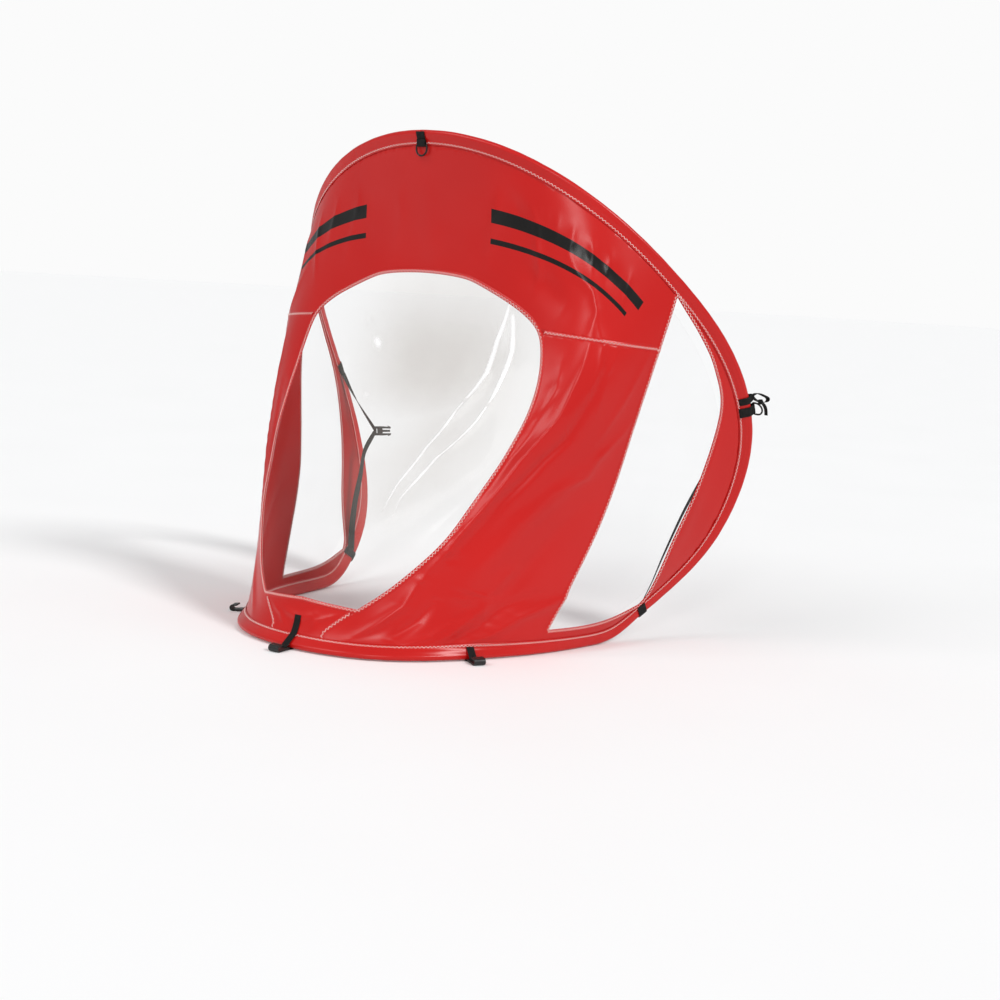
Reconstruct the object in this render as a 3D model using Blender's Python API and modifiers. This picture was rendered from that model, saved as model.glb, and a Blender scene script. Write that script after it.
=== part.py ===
# Pop up canoe sail: cloth hood on a closed spring hoop, with webbing ties and clear windows.
# X points to the bow, Y to the left, Z up. The lower rim lies on the deck plane at Z 0.

import math
from bisect import bisect_left

import bmesh
import bpy
from mathutils import Matrix, Vector
from mathutils.geometry import delaunay_2d_cdt

# Hoop and sleeve sizes
HOOD_LENGTH = 0.593
HOOD_HALF_WIDTH = 0.424
HOOD_HEIGHT = 0.758
ROD_RADIUS = 0.0033
FERRULE_WALL = 0.0004
SLEEVE_BORE_RADIUS = 0.0044
SLEEVE_WALL = 0.0008
FLANGE_THICKNESS = 0.0012
FLANGE_NECK = 0.0033
FLANGE_REACH = 0.018
CLEARANCE = 0.0003
TIGHT_CLEARANCE = 0.0001
LAP_CLEARANCE = 0.0005

# Cloth, window and webbing sizes
CLOTH_THICKNESS = 0.0007
VINYL_THICKNESS = 0.0005
WEBBING_THICKNESS = 0.001
WIDE_WEBBING = 0.016
NARROW_WEBBING = 0.012
BOW_WEBBING = 0.008
KNOT_SIZE = 0.009
TIE_ROOT = 0.005
TIE_TURN = math.radians(12)
RING_REST = math.radians(60)

# Wire ring, hook and buckle sizes
RING_WIRE_RADIUS = 0.0014
RING_DEPTH = 0.016
RING_CORNER_RADIUS = 0.0022
RING_SIDE_ROOM = 0.0006
HOOK_WIDTH = 0.018
HOOK_THICKNESS = 0.0024
HOOK_SHANK = 0.015
HOOK_BEND_RADIUS = 0.004
HOOK_LIP = 0.007
HOOK_SLOT = 0.0034
HOOK_LOOP_ROOM = 0.0006
BUCKLE_BAR = 0.0026
BUCKLE_SLOT = 0.0036
BUCKLE_BODY = 0.0095
BUCKLE_RAIL = 0.0028
BUCKLE_THICKNESS = 0.0036
PRONG_LENGTH = 0.015
PRONG_WIDTH = 0.0026
PRONG_BARB = 0.0016

# Where the ties sit
FRONT_LOOP_REACH = 0.0112
BASE_LOOP_REACH = 0.0112
SIDE_LOOP_REACH = 0.0095
BASE_TAB_RUN = 0.013
SIDE_TAB_RUN = 0.016
LOWER_TAB_RUN = 0.017
TOP_LOOP_DROP = 0.0175
TOP_TAB_END = 0.0085
TOP_TAB_END_RISE = 0.0056
STRAP_SAG = 0.054
STRAP_TAIL_SAG = 0.016
FORE_AFT_SHIFT = -0.016

# Mesh steps
BEAD_ANGLES = (25, 75, 125, 180, 235, 285, 335)
BORE_ANGLES = (8, 30, 60, 96, 137, 180, 223, 264, 300, 330, 352)
CURVE_STEPS = 2
ROUTE_STEPS = 4
BEND_FACET = math.radians(30)
WINDING_LIMIT = math.radians(300)
WIRE_RESOLUTION = 2
BUCKLE_BENDS = 4
BUCKLE_WRAP = math.radians(35)
LEG_SHARE = 0.55
KNOT_SHARE = 0.8
GRID_SHARE = 0.072
EDGE_ROOM_SHARE = 0.55
NUDGE_SHARE = 0.001

# Rim stations from front centre round the left side to the top, at equal turns
RIM_SHARES = (
    (0.501, 0.0, 0.0), (0.464, 0.250, 0.0), (0.344, 0.443, 0.0), (0.180, 0.561, 0.0),
    (0.003, 0.634, 0.0), (-0.179, 0.672, 0.006), (-0.341, 0.736, 0.070),
    (-0.457, 0.833, 0.166), (-0.499, 0.929, 0.294), (-0.470, 0.991, 0.433),
    (-0.384, 0.991, 0.559), (-0.275, 0.932, 0.670), (-0.165, 0.823, 0.770),
    (-0.067, 0.677, 0.860), (0.013, 0.486, 0.934), (0.064, 0.255, 0.983), (0.083, 0.0, 1.0))
FLAT_RIM_SHARE = 0.28
RAISED_RIM_SHARE = 0.36

# How far the wind fills the cloth, as shares of the hood sizes
PUFF_LENGTH_SHARES = (0.4, 0.21, -0.16, -0.02, 0.48, -0.11, 0.09, -0.44)
PUFF_HEIGHT_SHARES = (-0.1, 0.24, -0.16, -0.01, 0.14, -0.11, 0.08, -0.17)
PUFF_WIDTH_SHARES = (0.35, -0.92, 0.63, -0.44, 1.94)

# Places along the rim, as shares of the half turn from front centre to top
FRONT_SEAM_SHARE = 0.029
BASE_TAB_SHARE = 0.16
LOWER_TAB_SHARE = 0.36
SIDE_TAB_SHARE = 0.586
TIE_STRAP_SHARE = 0.597
WINDOW_PEAK_SHARE = 0.7195
FERRULE_SHARE = 0.25
RIM_RUNS = (
    (0.0, FRONT_SEAM_SHARE, 2), (FRONT_SEAM_SHARE, BASE_TAB_SHARE, 6),
    (BASE_TAB_SHARE, LOWER_TAB_SHARE, 9),
    (LOWER_TAB_SHARE, SIDE_TAB_SHARE, 11), (SIDE_TAB_SHARE, TIE_STRAP_SHARE, 1),
    (TIE_STRAP_SHARE, WINDOW_PEAK_SHARE, 6),
    (WINDOW_PEAK_SHARE, 1.0, 13))

# Outlines on the unit disc: first value forward, second to the left
WINDOW_TOP_SHARES = (
    (-0.80, 0.0), (-0.79, 0.10), (-0.773, 0.147), (-0.733, 0.223), (-0.693, 0.277),
    (-0.657, 0.31))
WINDOW_FLANK_SHARES = (
    (-0.657, 0.31), (-0.60, 0.33), (-0.453, 0.353), (-0.293, 0.37), (-0.12, 0.395),
    (0.05, 0.41), (0.207, 0.41), (0.357, 0.375), (0.543, 0.297), (0.687, 0.203))
WINDOW_SILL_SHARES = ((0.687, 0.203), (0.68, 0.10), (0.67, 0.0))
SHOULDER_SEAM_SHARES = ((-0.657, 0.31), (-0.61, 0.447), (-0.55, 0.60), (-0.497, 0.737))
FRONT_SEAM_SHARES = ((0.687, 0.203), (0.767, 0.15), (0.86, 0.10))
SIDE_FRONT_SHARES = (
    (-0.497, 0.737), (-0.32, 0.737), (-0.033, 0.757), (0.203, 0.743), (0.427, 0.713),
    (0.597, 0.683))
SIDE_SILL_SHARES = ((0.597, 0.683), (0.493, 0.807), (0.397, 0.89))
SIDE_AFT_SHARES = (
    (0.397, 0.89), (0.337, 0.90), (0.157, 0.907), (-0.063, 0.923), (-0.27, 0.918),
    (-0.403, 0.88), (-0.51, 0.827))

# Strip of the front tab, as places on the centre line of the cloth
FRONT_STRIP_SHARES = (0.785, 0.83, 0.87, 0.91)

# Slack straps: share of the way down, and share of the sag
BUCKLE_PLACE_SHARES = (0.36, 1.0)
STRAP_UPPER_SHARES = ((0.10, 0.24), (0.20, 0.52))
STRAP_LOWER_SHARES = ((0.47, 0.62), (0.60, 0.44), (0.74, 0.22), (0.87, 0.08))
PLAIN_STRAP_SHARES = ((0.12, 0.30), (0.30, 0.85), (0.52, 1.0), (0.75, 0.55), (0.89, 0.12))

# Unit directions for the left side
SAG_SHARES = (-0.49, -0.85, 0.19)
BUCKLE_BAR_SHARES = (0.475, -0.290, 0.830)
BUCKLE_PRONG_SHARES = (-0.5915, -0.8042, 0.0573)

# Bow and tail of the tie strap, aft and up, in knot sizes
BOW_SHARES = (
    (0.0, 0.25), (1.0, 0.62), (2.0, 0.55), (3.0, 0.28), (4.05, -0.08), (4.35, -0.45),
    (4.05, -0.82), (3.2, -0.92), (2.44, -0.85), (1.4, -0.6), (0.6, -0.25))
TAIL_SHARES = ((2.44, -0.85), (3.3, -1.3), (3.95, -2.1), (4.2, -3.2))

# Values worked out from the sizes
BEAD_RADIUS = SLEEVE_BORE_RADIUS + SLEEVE_WALL
FACET_SPREAD = 1 / math.cos(BEND_FACET / 2)
REST_HEIGHT = (BEAD_RADIUS + LAP_CLEARANCE + WEBBING_THICKNESS) * FACET_SPREAD
BEAD_LAP = BEAD_RADIUS + LAP_CLEARANCE + WEBBING_THICKNESS / 2
FLANGE_LAP = FLANGE_THICKNESS / 2 + LAP_CLEARANCE + WEBBING_THICKNESS / 2
RING_LOOP = RING_WIRE_RADIUS + CLEARANCE + WEBBING_THICKNESS / 2
HOOK_BAR = HOOK_THICKNESS
HOOK_LOOP = math.hypot(HOOK_BAR, HOOK_THICKNESS) / 2 + HOOK_LOOP_ROOM + WEBBING_THICKNESS / 2
HOOK_BAR_HEIGHT = (HOOK_LOOP + WEBBING_THICKNESS / 2) * FACET_SPREAD
BUCKLE_LOOP = math.hypot(BUCKLE_BAR, BUCKLE_THICKNESS) / 2 + CLEARANCE + WEBBING_THICKNESS / 2
TIE_LOOP = (WEBBING_THICKNESS + CLEARANCE) / 2

UP = Vector((0, 0, 1))

# Colours: base colour, roughness, metallic, alpha
COLOURS = {
    "red_cloth": ((0.56, 0.022, 0.018, 1), 0.42, 0.0),
    "clear_vinyl": ((0.86, 0.87, 0.88, 0.35), 0.12, 0.0),
    "black_webbing": ((0.018, 0.018, 0.016, 1), 0.8, 0.0),
    "black_plastic": ((0.014, 0.014, 0.014, 1), 0.38, 0.0),
    "black_wire": ((0.03, 0.03, 0.03, 1), 0.3, 0.9),
    "hoop_rod": ((0.75, 0.73, 0.66, 1), 0.35, 0.0),
    "ferrule_brass": ((0.72, 0.55, 0.25, 1), 0.3, 1.0)}


def make_materials():
    materials = {}
    for name, (colour, roughness, metallic) in COLOURS.items():
        material = bpy.data.materials.new(name)
        material.use_nodes = True
        shader = material.node_tree.nodes["Principled BSDF"]
        shader.inputs["Base Color"].default_value = colour
        shader.inputs["Alpha"].default_value = colour[3]
        shader.inputs["Roughness"].default_value = roughness
        shader.inputs["Metallic"].default_value = metallic
        materials[name] = material
    return materials


def clear_scene():
    for item in list(bpy.data.objects):
        bpy.data.objects.remove(item, do_unlink=True)
    for name in ("canoe_sail", "canoe_sail_cutters"):
        group = bpy.data.collections.new(name)
        bpy.context.scene.collection.children.link(group)


clear_scene()
PARTS = bpy.data.collections["canoe_sail"]
CUTTERS = bpy.data.collections["canoe_sail_cutters"]
MATERIALS = make_materials()


# The hood surface

def harmonic_series():
    """Terms of the smooth sheet that spans the rim: a cosine series in X and Z, sine in Y."""
    steps = len(RIM_SHARES) - 1
    terms = []
    for order in range(steps + 1):
        half = 0.5 if order in (0, steps) else 1.0
        x = y = z = 0.0
        for index, share in enumerate(RIM_SHARES):
            angle = math.pi * order * index / steps
            weight = 0.5 if index in (0, steps) else 1.0
            x += share[0] * weight * math.cos(angle)
            y += share[1] * math.sin(angle)
            z += share[2] * weight * math.cos(angle)
        scale = 2.0 * half / steps
        wide = 0.0 if order in (0, steps) else 2.0 / steps
        terms.append((x * scale * HOOD_LENGTH, y * wide * HOOD_HALF_WIDTH, z * scale * HOOD_HEIGHT))
    return terms


SERIES = harmonic_series()


def hood(xi, eta):
    """Point of the cloth for a place on the unit disc: xi forward, eta to the left."""
    turn = complex(xi, eta)
    power = complex(1, 0)
    x = y = z = 0.0
    for a, b, c in SERIES:
        x += power.real * a
        y += power.imag * b
        z += power.real * c
        power *= turn
    basis = (1, xi, xi * xi, xi ** 3, eta * eta, xi * eta * eta, xi * xi * eta * eta, eta ** 4)
    wide = (1, xi, xi * xi, eta * eta, xi * eta * eta)
    puff = 1 - xi * xi - eta * eta
    x += puff * HOOD_LENGTH * sum(s * b for s, b in zip(PUFF_LENGTH_SHARES, basis))
    y += puff * HOOD_HALF_WIDTH * eta * sum(s * b for s, b in zip(PUFF_WIDTH_SHARES, wide))
    z += puff * HOOD_HEIGHT * sum(s * b for s, b in zip(PUFF_HEIGHT_SHARES, basis))
    return Vector((x + FORE_AFT_SHIFT, y, z + REST_HEIGHT))


def hood_normal(xi, eta):
    """Outward normal of the cloth."""
    forward = hood(xi + NUDGE_SHARE, eta) - hood(xi - NUDGE_SHARE, eta)
    left = hood(xi, eta + NUDGE_SHARE) - hood(xi, eta - NUDGE_SHARE)
    return forward.cross(left).normalized()


def eased(value, start, end):
    """Smooth step from 0 at the start to 1 at the end."""
    part = min(max((value - start) / (end - start), 0), 1)
    return part * part * (3 - 2 * part)


def rim(share):
    """Centre of the hoop rod: flat on its tabs ahead, down on the deck itself further aft."""
    angle = math.pi * share
    point = hood(math.cos(angle), math.sin(angle))
    raised = eased(share, FLAT_RIM_SHARE, RAISED_RIM_SHARE)
    dip = eased(share, BASE_TAB_SHARE, FLAT_RIM_SHARE) * (REST_HEIGHT - BEAD_RADIUS)
    point.z = REST_HEIGHT - dip * (1 - raised) + (point.z - REST_HEIGHT) * raised
    return point


def rim_direction(share):
    ahead = rim(share + NUDGE_SHARE)
    behind = rim(share - NUDGE_SHARE)
    return (ahead - behind).normalized()


class Station:
    """A cross section of the rim: centre, direction along it, way into the cloth, outward."""

    def __init__(self, share):
        self.share = share
        self.centre = rim(share)
        self.along = rim_direction(share)
        turn = math.pi * share
        depth = 0.03
        for _ in range(12):
            spot = hood((1 - depth) * math.cos(turn), (1 - depth) * math.sin(turn))
            gap = spot - self.centre
            depth *= FLANGE_REACH / gap.length
            turn -= gap.dot(self.along) / (HOOD_LENGTH + HOOD_HALF_WIDTH)
        self.disc = ((1 - depth) * math.cos(turn), (1 - depth) * math.sin(turn))
        self.tip = hood(*self.disc)
        inward = self.tip - self.centre
        inward -= self.along * inward.dot(self.along)
        self.inward = inward.normalized()
        self.outward = self.along.cross(self.inward).normalized()

    def place(self, a, b, t=0.0):
        """World point from inward, outward and along measures."""
        return self.centre + self.inward * a + self.outward * b + self.along * t

    def frame(self):
        """Matrix whose X runs inward, Y outward and Z along the rim."""
        matrix = Matrix((self.inward, self.outward, self.along)).transposed().to_4x4()
        matrix.translation = self.centre
        return matrix

    def flat(self, point):
        """A world point in the station's own inward and outward measures."""
        gap = point - self.centre
        return Vector((gap.dot(self.inward), gap.dot(self.outward)))


def rim_stations():
    shares = [0.0]
    for start, end, count in RIM_RUNS:
        shares += [start + (end - start) * step / count for step in range(1, count + 1)]
    return [Station(share) for share in shares]


STATIONS = rim_stations()
STATION_SHARES = [station.share for station in STATIONS]


def station_index(share):
    return bisect_left(STATION_SHARES, share - NUDGE_SHARE)


# Mesh helpers

def add_object(name, mesh, material, group=None):
    item = bpy.data.objects.new(name, mesh)
    (group or PARTS).objects.link(item)
    if material:
        mesh.materials.append(MATERIALS[material])
    return item


def finish_mesh(name, work, material, group=None):
    bmesh.ops.recalc_face_normals(work, faces=work.faces)
    mesh = bpy.data.meshes.new(name)
    work.to_mesh(mesh)
    work.free()
    return add_object(name, mesh, material, group)


def loft(name, outer_rings, inner_rings, material):
    """Solid through rings of points, with a bore through the inner rings if there are any."""
    work = bmesh.new()

    def skin(rings):
        rows = [[work.verts.new(point) for point in ring] for ring in rings]
        for row, following in zip(rows, rows[1:]):
            for index in range(len(row)):
                after = (index + 1) % len(row)
                work.faces.new((row[index], row[after], following[after], following[index]))
        return rows

    outer = skin(outer_rings)
    if inner_rings:
        inner = skin(inner_rings)
        for row, hole in ((outer[0], inner[0]), (outer[-1], inner[-1])):
            for index in range(len(row)):
                after = (index + 1) % len(row)
                work.faces.new((row[index], row[after], hole[after], hole[index]))
    else:
        work.faces.new(outer[0])
        work.faces.new(outer[-1])
    return finish_mesh(name, work, material)


def mirrored(item, name):
    """The right hand copy of a left hand piece."""
    mesh = item.data.copy()
    mesh.name = name
    mesh.transform(Matrix.Scale(-1, 4, Vector((0, 1, 0))) @ item.matrix_basis)
    mesh.flip_normals()
    twin = bpy.data.objects.new(name, mesh)
    PARTS.objects.link(twin)
    for modifier in item.modifiers:
        copy = twin.modifiers.new(modifier.name, modifier.type)
        copy.thickness = modifier.thickness
        copy.offset = modifier.offset
        copy.use_even_offset = modifier.use_even_offset
    return twin


def moved_to_right(item, name):
    """A piece that is drawn on the left but belongs only on the right."""
    twin = mirrored(item, name)
    bpy.data.objects.remove(item, do_unlink=True)
    return twin


def set_pivot(item, point):
    """Put the object's origin on its joint axis without moving the piece."""
    item.data.transform(Matrix.Translation(-point))
    item.matrix_basis = Matrix.Translation(point)
    return item


def opposite(point):
    return Vector((point.x, -point.y, point.z))


def curve_object(name, splines, material, depth=0.0, extrude=0.0, cyclic=True, flat=False):
    """POLY curve through lists of points: a wire if depth is set, a filled outline if flat."""
    curve = bpy.data.curves.new(name, "CURVE")
    curve.dimensions = "2D" if flat else "3D"
    curve.fill_mode = "BOTH" if flat else "FULL"
    curve.bevel_depth = depth
    curve.bevel_resolution = WIRE_RESOLUTION
    curve.extrude = extrude
    curve.use_fill_caps = not cyclic
    for points in splines:
        spline = curve.splines.new("POLY")
        spline.points.add(len(points) - 1)
        for target, point in zip(spline.points, points):
            target.co = (*Vector(point).to_3d(), 1)
        spline.use_cyclic_u = cyclic
    curve.materials.append(MATERIALS[material])
    item = bpy.data.objects.new(name, curve)
    PARTS.objects.link(item)
    return item


def solid_from_curve(item):
    """A mesh object with welded caps in place of a curve object, with its matrix applied."""
    matrix = item.matrix_basis.copy()
    graph = bpy.context.evaluated_depsgraph_get()
    graph.update()
    mesh = bpy.data.meshes.new_from_object(item.evaluated_get(graph))
    mesh.transform(matrix)
    name = item.name
    bpy.data.objects.remove(item, do_unlink=True)
    work = bmesh.new()
    work.from_mesh(mesh)
    bmesh.ops.remove_doubles(work, verts=work.verts, dist=TIGHT_CLEARANCE / 10)
    bmesh.ops.recalc_face_normals(work, faces=work.faces)
    work.to_mesh(mesh)
    work.free()
    solid = bpy.data.objects.new(name, mesh)
    PARTS.objects.link(solid)
    return solid


def boolean(target, tool, operation):
    modifier = target.modifiers.new(operation.lower(), "BOOLEAN")
    modifier.operation = operation
    modifier.solver = "EXACT"
    modifier.object = tool
    tool.hide_render = True
    tool.display_type = "WIRE"


def box_cutter(name, size, matrix):
    work = bmesh.new()
    bmesh.ops.create_cube(work, size=1)
    bmesh.ops.scale(work, vec=size, verts=work.verts)
    bmesh.ops.transform(work, matrix=matrix, verts=work.verts)
    return finish_mesh(name, work, None, CUTTERS)


def bake(item):
    """Apply the modifiers of a mesh object, and drop the tools of its booleans."""
    graph = bpy.context.evaluated_depsgraph_get()
    graph.update()
    mesh = bpy.data.meshes.new_from_object(item.evaluated_get(graph))
    tools = [modifier.object for modifier in item.modifiers]
    item.modifiers.clear()
    item.data = mesh
    for tool in tools:
        bpy.data.objects.remove(tool, do_unlink=True)
    return item


# Outline helpers

def through(points, steps):
    """Smooth curve through the points, which stay on it."""
    points = [Vector(point) for point in points]
    padded = [points[0] * 2 - points[1], *points, points[-1] * 2 - points[-2]]
    curve = []
    for before, start, end, after in zip(padded, padded[1:], padded[2:], padded[3:]):
        for step in range(steps):
            t = step / steps
            pull = (before * (2 * t * t - t ** 3 - t) + start * (2 - 5 * t * t + 3 * t ** 3)
                    + end * (t + 4 * t * t - 3 * t ** 3) + after * (t ** 3 - t * t)) / 2
            curve.append(pull)
    return [*curve, points[-1]]


def tangent_normals(places):
    """Right hand normals of the straight runs between circles."""
    normals = []
    for (start, first), (end, second) in zip(places, places[1:]):
        gap = end - start
        way = gap.normalized()
        lean = (first - second) / gap.length
        side = Vector((way.y, -way.x))
        normals.append(way * lean + side * math.sqrt(max(1 - lean * lean, 0)))
    return normals


def belt(stops):
    """Midline round a row of circles: radius positive where it turns left round one.

    A circle that the line would have to wind right round is passed by."""
    places = [(Vector(centre), radius) for centre, radius in stops]
    normals = tangent_normals(places)
    line = [places[0][0] + normals[0] * places[0][1]]
    for index, (centre, radius) in enumerate(places[1:-1], 1):
        if radius == 0:
            line.append(centre)
            continue
        begin = math.atan2(normals[index - 1].y, normals[index - 1].x)
        sweep = math.atan2(normals[index].y, normals[index].x) - begin
        turn = math.copysign(1, radius)
        sweep = turn * ((turn * sweep) % math.tau)
        if abs(sweep) > WINDING_LIMIT:
            return belt(stops[:index] + stops[index + 1:])
        count = max(math.ceil(abs(sweep) / BEND_FACET), 1)
        for step in range(count + 1):
            angle = begin + sweep * step / count
            line.append(centre + Vector((math.cos(angle), math.sin(angle))) * radius)
    line.append(places[-1][0] + normals[-1] * places[-1][1])
    return line


def ribbon_outline(line, thickness):
    """Closed outline of a strip of even thickness along a flat midline."""
    left = []
    right = []
    for index, point in enumerate(line):
        before = (point - line[index - 1]).normalized() if index else None
        after = (line[index + 1] - point).normalized() if index + 1 < len(line) else None
        before = before or after
        after = after or before
        way = (before + after).normalized()
        side = Vector((-way.y, way.x)) * thickness / 2 / max(way.dot(after), 0.5)
        left.append(point + side)
        right.append(point - side)
    return left + right[::-1]


def ribbon(name, line, width, matrix, material):
    """Webbing strip along a flat midline, its width square to the plane."""
    outline = ribbon_outline(line, WEBBING_THICKNESS)
    item = curve_object(name, [outline], material, extrude=width / 2, flat=True)
    item.matrix_basis = matrix
    return solid_from_curve(item)


# Panels

def inset(outline):
    """World points of an outline, drawn in by half the clearance within the cloth."""
    spots = [hood(*point) for point in outline]
    result = []
    for index, (place, spot) in enumerate(zip(outline, spots)):
        normal = hood_normal(*place)
        arriving = (spot - spots[index - 1]).normalized()
        leaving = (spots[(index + 1) % len(spots)] - spot).normalized()
        first = normal.cross(arriving).normalized()
        second = normal.cross(leaving).normalized()
        mitre = (first + second) / max(1 + first.dot(second), 0.35)
        result.append(spot + mitre * CLEARANCE / 2)
    return result


def inside(point, outline):
    hit = False
    for index, corner in enumerate(outline):
        last = outline[index - 1]
        if (corner[1] > point[1]) != (last[1] > point[1]):
            cross = (last[0] - corner[0]) * (point[1] - corner[1]) / (last[1] - corner[1])
            if point[0] < cross + corner[0]:
                hit = not hit
    return hit


def distance(point, outline):
    """Least distance from a point to the sides of an outline."""
    least = None
    spot = Vector(point)
    for index, corner in enumerate(outline):
        start = Vector(outline[index - 1])
        side = Vector(corner) - start
        along = min(max((spot - start).dot(side) / side.length_squared, 0), 1)
        gap = (spot - start - side * along).length
        least = gap if least is None else min(least, gap)
    return least


def fill_points(outline):
    """Rows of points inside an outline, clear of its sides."""
    count = math.ceil(2 / GRID_SHARE)
    points = []
    for row in range(-count, count + 1):
        for column in range(-count, count + 1):
            spot = ((column + (row % 2) / 2) * GRID_SHARE, row * GRID_SHARE * math.sqrt(0.75))
            if inside(spot, outline) and distance(spot, outline) > GRID_SHARE * EDGE_ROOM_SHARE:
                points.append(spot)
    return points


def panel(name, outline, thickness, material):
    """Sheet cut to an outline on the disc, laid on the hood surface and thickened."""
    outline = [tuple(point) for point in outline]
    edge = inset(outline)
    points = [Vector(point) for point in outline + fill_points(outline)]
    ring = list(range(len(outline)))
    verts, _, faces, origins, _, _ = delaunay_2d_cdt(points, [], [ring], 1, NUDGE_SHARE ** 2)
    work = bmesh.new()
    made = []
    for vert, origin in zip(verts, origins):
        known = [index for index in origin if index < len(outline)]
        made.append(work.verts.new(edge[known[0]] if known else hood(*vert)))
    for face in faces:
        work.faces.new([made[index] for index in face])
    bmesh.ops.recalc_face_normals(work, faces=work.faces)
    mesh = bpy.data.meshes.new(name)
    work.to_mesh(mesh)
    work.free()
    item = add_object(name, mesh, material)
    shell = item.modifiers.new("thickness", "SOLIDIFY")
    shell.thickness = thickness
    shell.offset = 0
    shell.use_even_offset = True
    return item


def across(points):
    return [(point[0], -point[1]) for point in points]


def make_panels():
    peak_index = station_index(WINDOW_PEAK_SHARE)
    low_index = station_index(LOWER_TAB_SHARE)
    seam_index = station_index(FRONT_SEAM_SHARE)
    edge = [Vector(station.disc) for station in STATIONS]
    peak = edge[peak_index]

    around = through(WINDOW_TOP_SHARES + WINDOW_FLANK_SHARES[1:], CURVE_STEPS)
    corner = (len(WINDOW_TOP_SHARES) - 1) * CURVE_STEPS
    top = around[:corner + 1]
    flank = around[corner:]
    sill = through(WINDOW_SILL_SHARES, CURVE_STEPS)
    shoulder = through(SHOULDER_SEAM_SHARES, CURVE_STEPS)
    front_seam = through((*FRONT_SEAM_SHARES, edge[seam_index]), CURVE_STEPS)
    side_front = through((peak, *SIDE_FRONT_SHARES), CURVE_STEPS)
    upper_front = side_front[:CURVE_STEPS + 1]
    lower_front = side_front[CURVE_STEPS:]
    side_sill = through(SIDE_SILL_SHARES, CURVE_STEPS)
    side_aft = through((*SIDE_AFT_SHARES, peak), CURVE_STEPS)

    arch = edge[peak_index:]
    half = [*arch, *across(arch[-2::-1])]
    inner = [*across(upper_front[1:]), *across(shoulder[-2::-1]), *across(top[-2::-1])]
    back = [*top[1:], *shoulder[1:], *upper_front[-2:0:-1]]
    panel("upper_panel", half + inner + back, CLOTH_THICKNESS, "red_cloth")

    base = [*edge[seam_index:low_index + 1]]
    loop = (base + side_sill[::-1] + lower_front[-2::-1] + shoulder[-2::-1]
            + flank[1:] + front_seam[1:-1])
    pillar = panel("left_pillar_panel", loop, CLOTH_THICKNESS, "red_cloth")
    mirrored(pillar, "right_pillar_panel")

    strip = edge[low_index:peak_index + 1] + side_aft[-2::-1]
    rear = panel("left_rear_strip", strip, CLOTH_THICKNESS, "red_cloth")
    mirrored(rear, "right_rear_strip")

    glass = side_sill[:-1] + side_aft[:-1] + side_front[:-1]
    window = panel("left_side_window", glass, VINYL_THICKNESS, "clear_vinyl")
    mirrored(window, "right_side_window")

    foot = edge[:seam_index + 1]
    front = (across(foot[:0:-1]) + foot + front_seam[-2::-1] + sill[1:]
             + across(sill[-2::-1]) + across(front_seam[1:-1]))
    panel("front_panel", front, CLOTH_THICKNESS, "red_cloth")

    main = (across(sill[:-1]) + sill[::-1] + flank[-2::-1] + top[-2::-1]
            + across(top[1:]) + across(flank[1:-1]))
    panel("main_window", main, VINYL_THICKNESS, "clear_vinyl")


# Hoop and sleeve

def circle(station, radius, angles, shift=0.0):
    ring = []
    for degrees in angles:
        angle = math.radians(degrees)
        ring.append(station.place(radius * math.cos(angle), radius * math.sin(angle), shift))
    return ring


def sleeve_section(station, shift):
    """Outer and bore rings of the sleeve: round bead with a flat flange into the cloth."""
    tip = (station.tip - station.centre).length - CLEARANCE / 2
    half = FLANGE_THICKNESS / 2
    neck = BEAD_RADIUS + FLANGE_NECK
    upper = [station.place(tip, half, shift), station.place(neck, half, shift)]
    lower = [station.place(neck, -half, shift), station.place(tip, -half, shift)]
    bead = circle(station, BEAD_RADIUS, BEAD_ANGLES, shift)
    return upper + bead + lower, circle(station, SLEEVE_BORE_RADIUS, BORE_ANGLES, shift)


def make_sleeves():
    runs = (
        ("base", 0.0, LOWER_TAB_SHARE), ("rear", LOWER_TAB_SHARE, SIDE_TAB_SHARE),
        ("upper", SIDE_TAB_SHARE, 1.0))
    for name, start, end in runs:
        stretch = STATIONS[station_index(start):station_index(end) + 1]
        shifts = [CLEARANCE / 2] + [0.0] * (len(stretch) - 2) + [-CLEARANCE / 2]
        pairs = [sleeve_section(station, shift) for station, shift in zip(stretch, shifts)]
        outer = [pair[0] for pair in pairs]
        bore = [pair[1] for pair in pairs]
        left = loft(f"left_{name}_sleeve", outer, bore, "red_cloth")
        mirrored(left, f"right_{name}_sleeve")


def make_hoop():
    """Rod whose two ends meet in a ferrule on the left side of the deck stretch."""
    joint = station_index(FERRULE_SHARE)
    left = [station.centre for station in STATIONS]
    right = [Vector((point.x, -point.y, point.z)) for point in left]
    gap = STATIONS[joint].along * CLEARANCE
    start = left[joint] + gap
    end = left[joint] - gap
    route = [start, *left[joint + 1:], *right[-2:0:-1], *left[:joint], end]
    curve_object("hoop_rod", [route], "hoop_rod", depth=ROD_RADIUS, cyclic=False)

    span = STATIONS[joint - 1:joint + 2]
    angles = [index * 360 / 12 for index in range(12)]
    bore = (ROD_RADIUS + TIGHT_CLEARANCE) / math.cos(math.radians(15))
    outer = [circle(station, bore + FERRULE_WALL, angles) for station in span]
    inner = [circle(station, bore, angles) for station in span]
    loft("hoop_ferrule", outer, inner, "ferrule_brass")


# Rings and hooks

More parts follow.
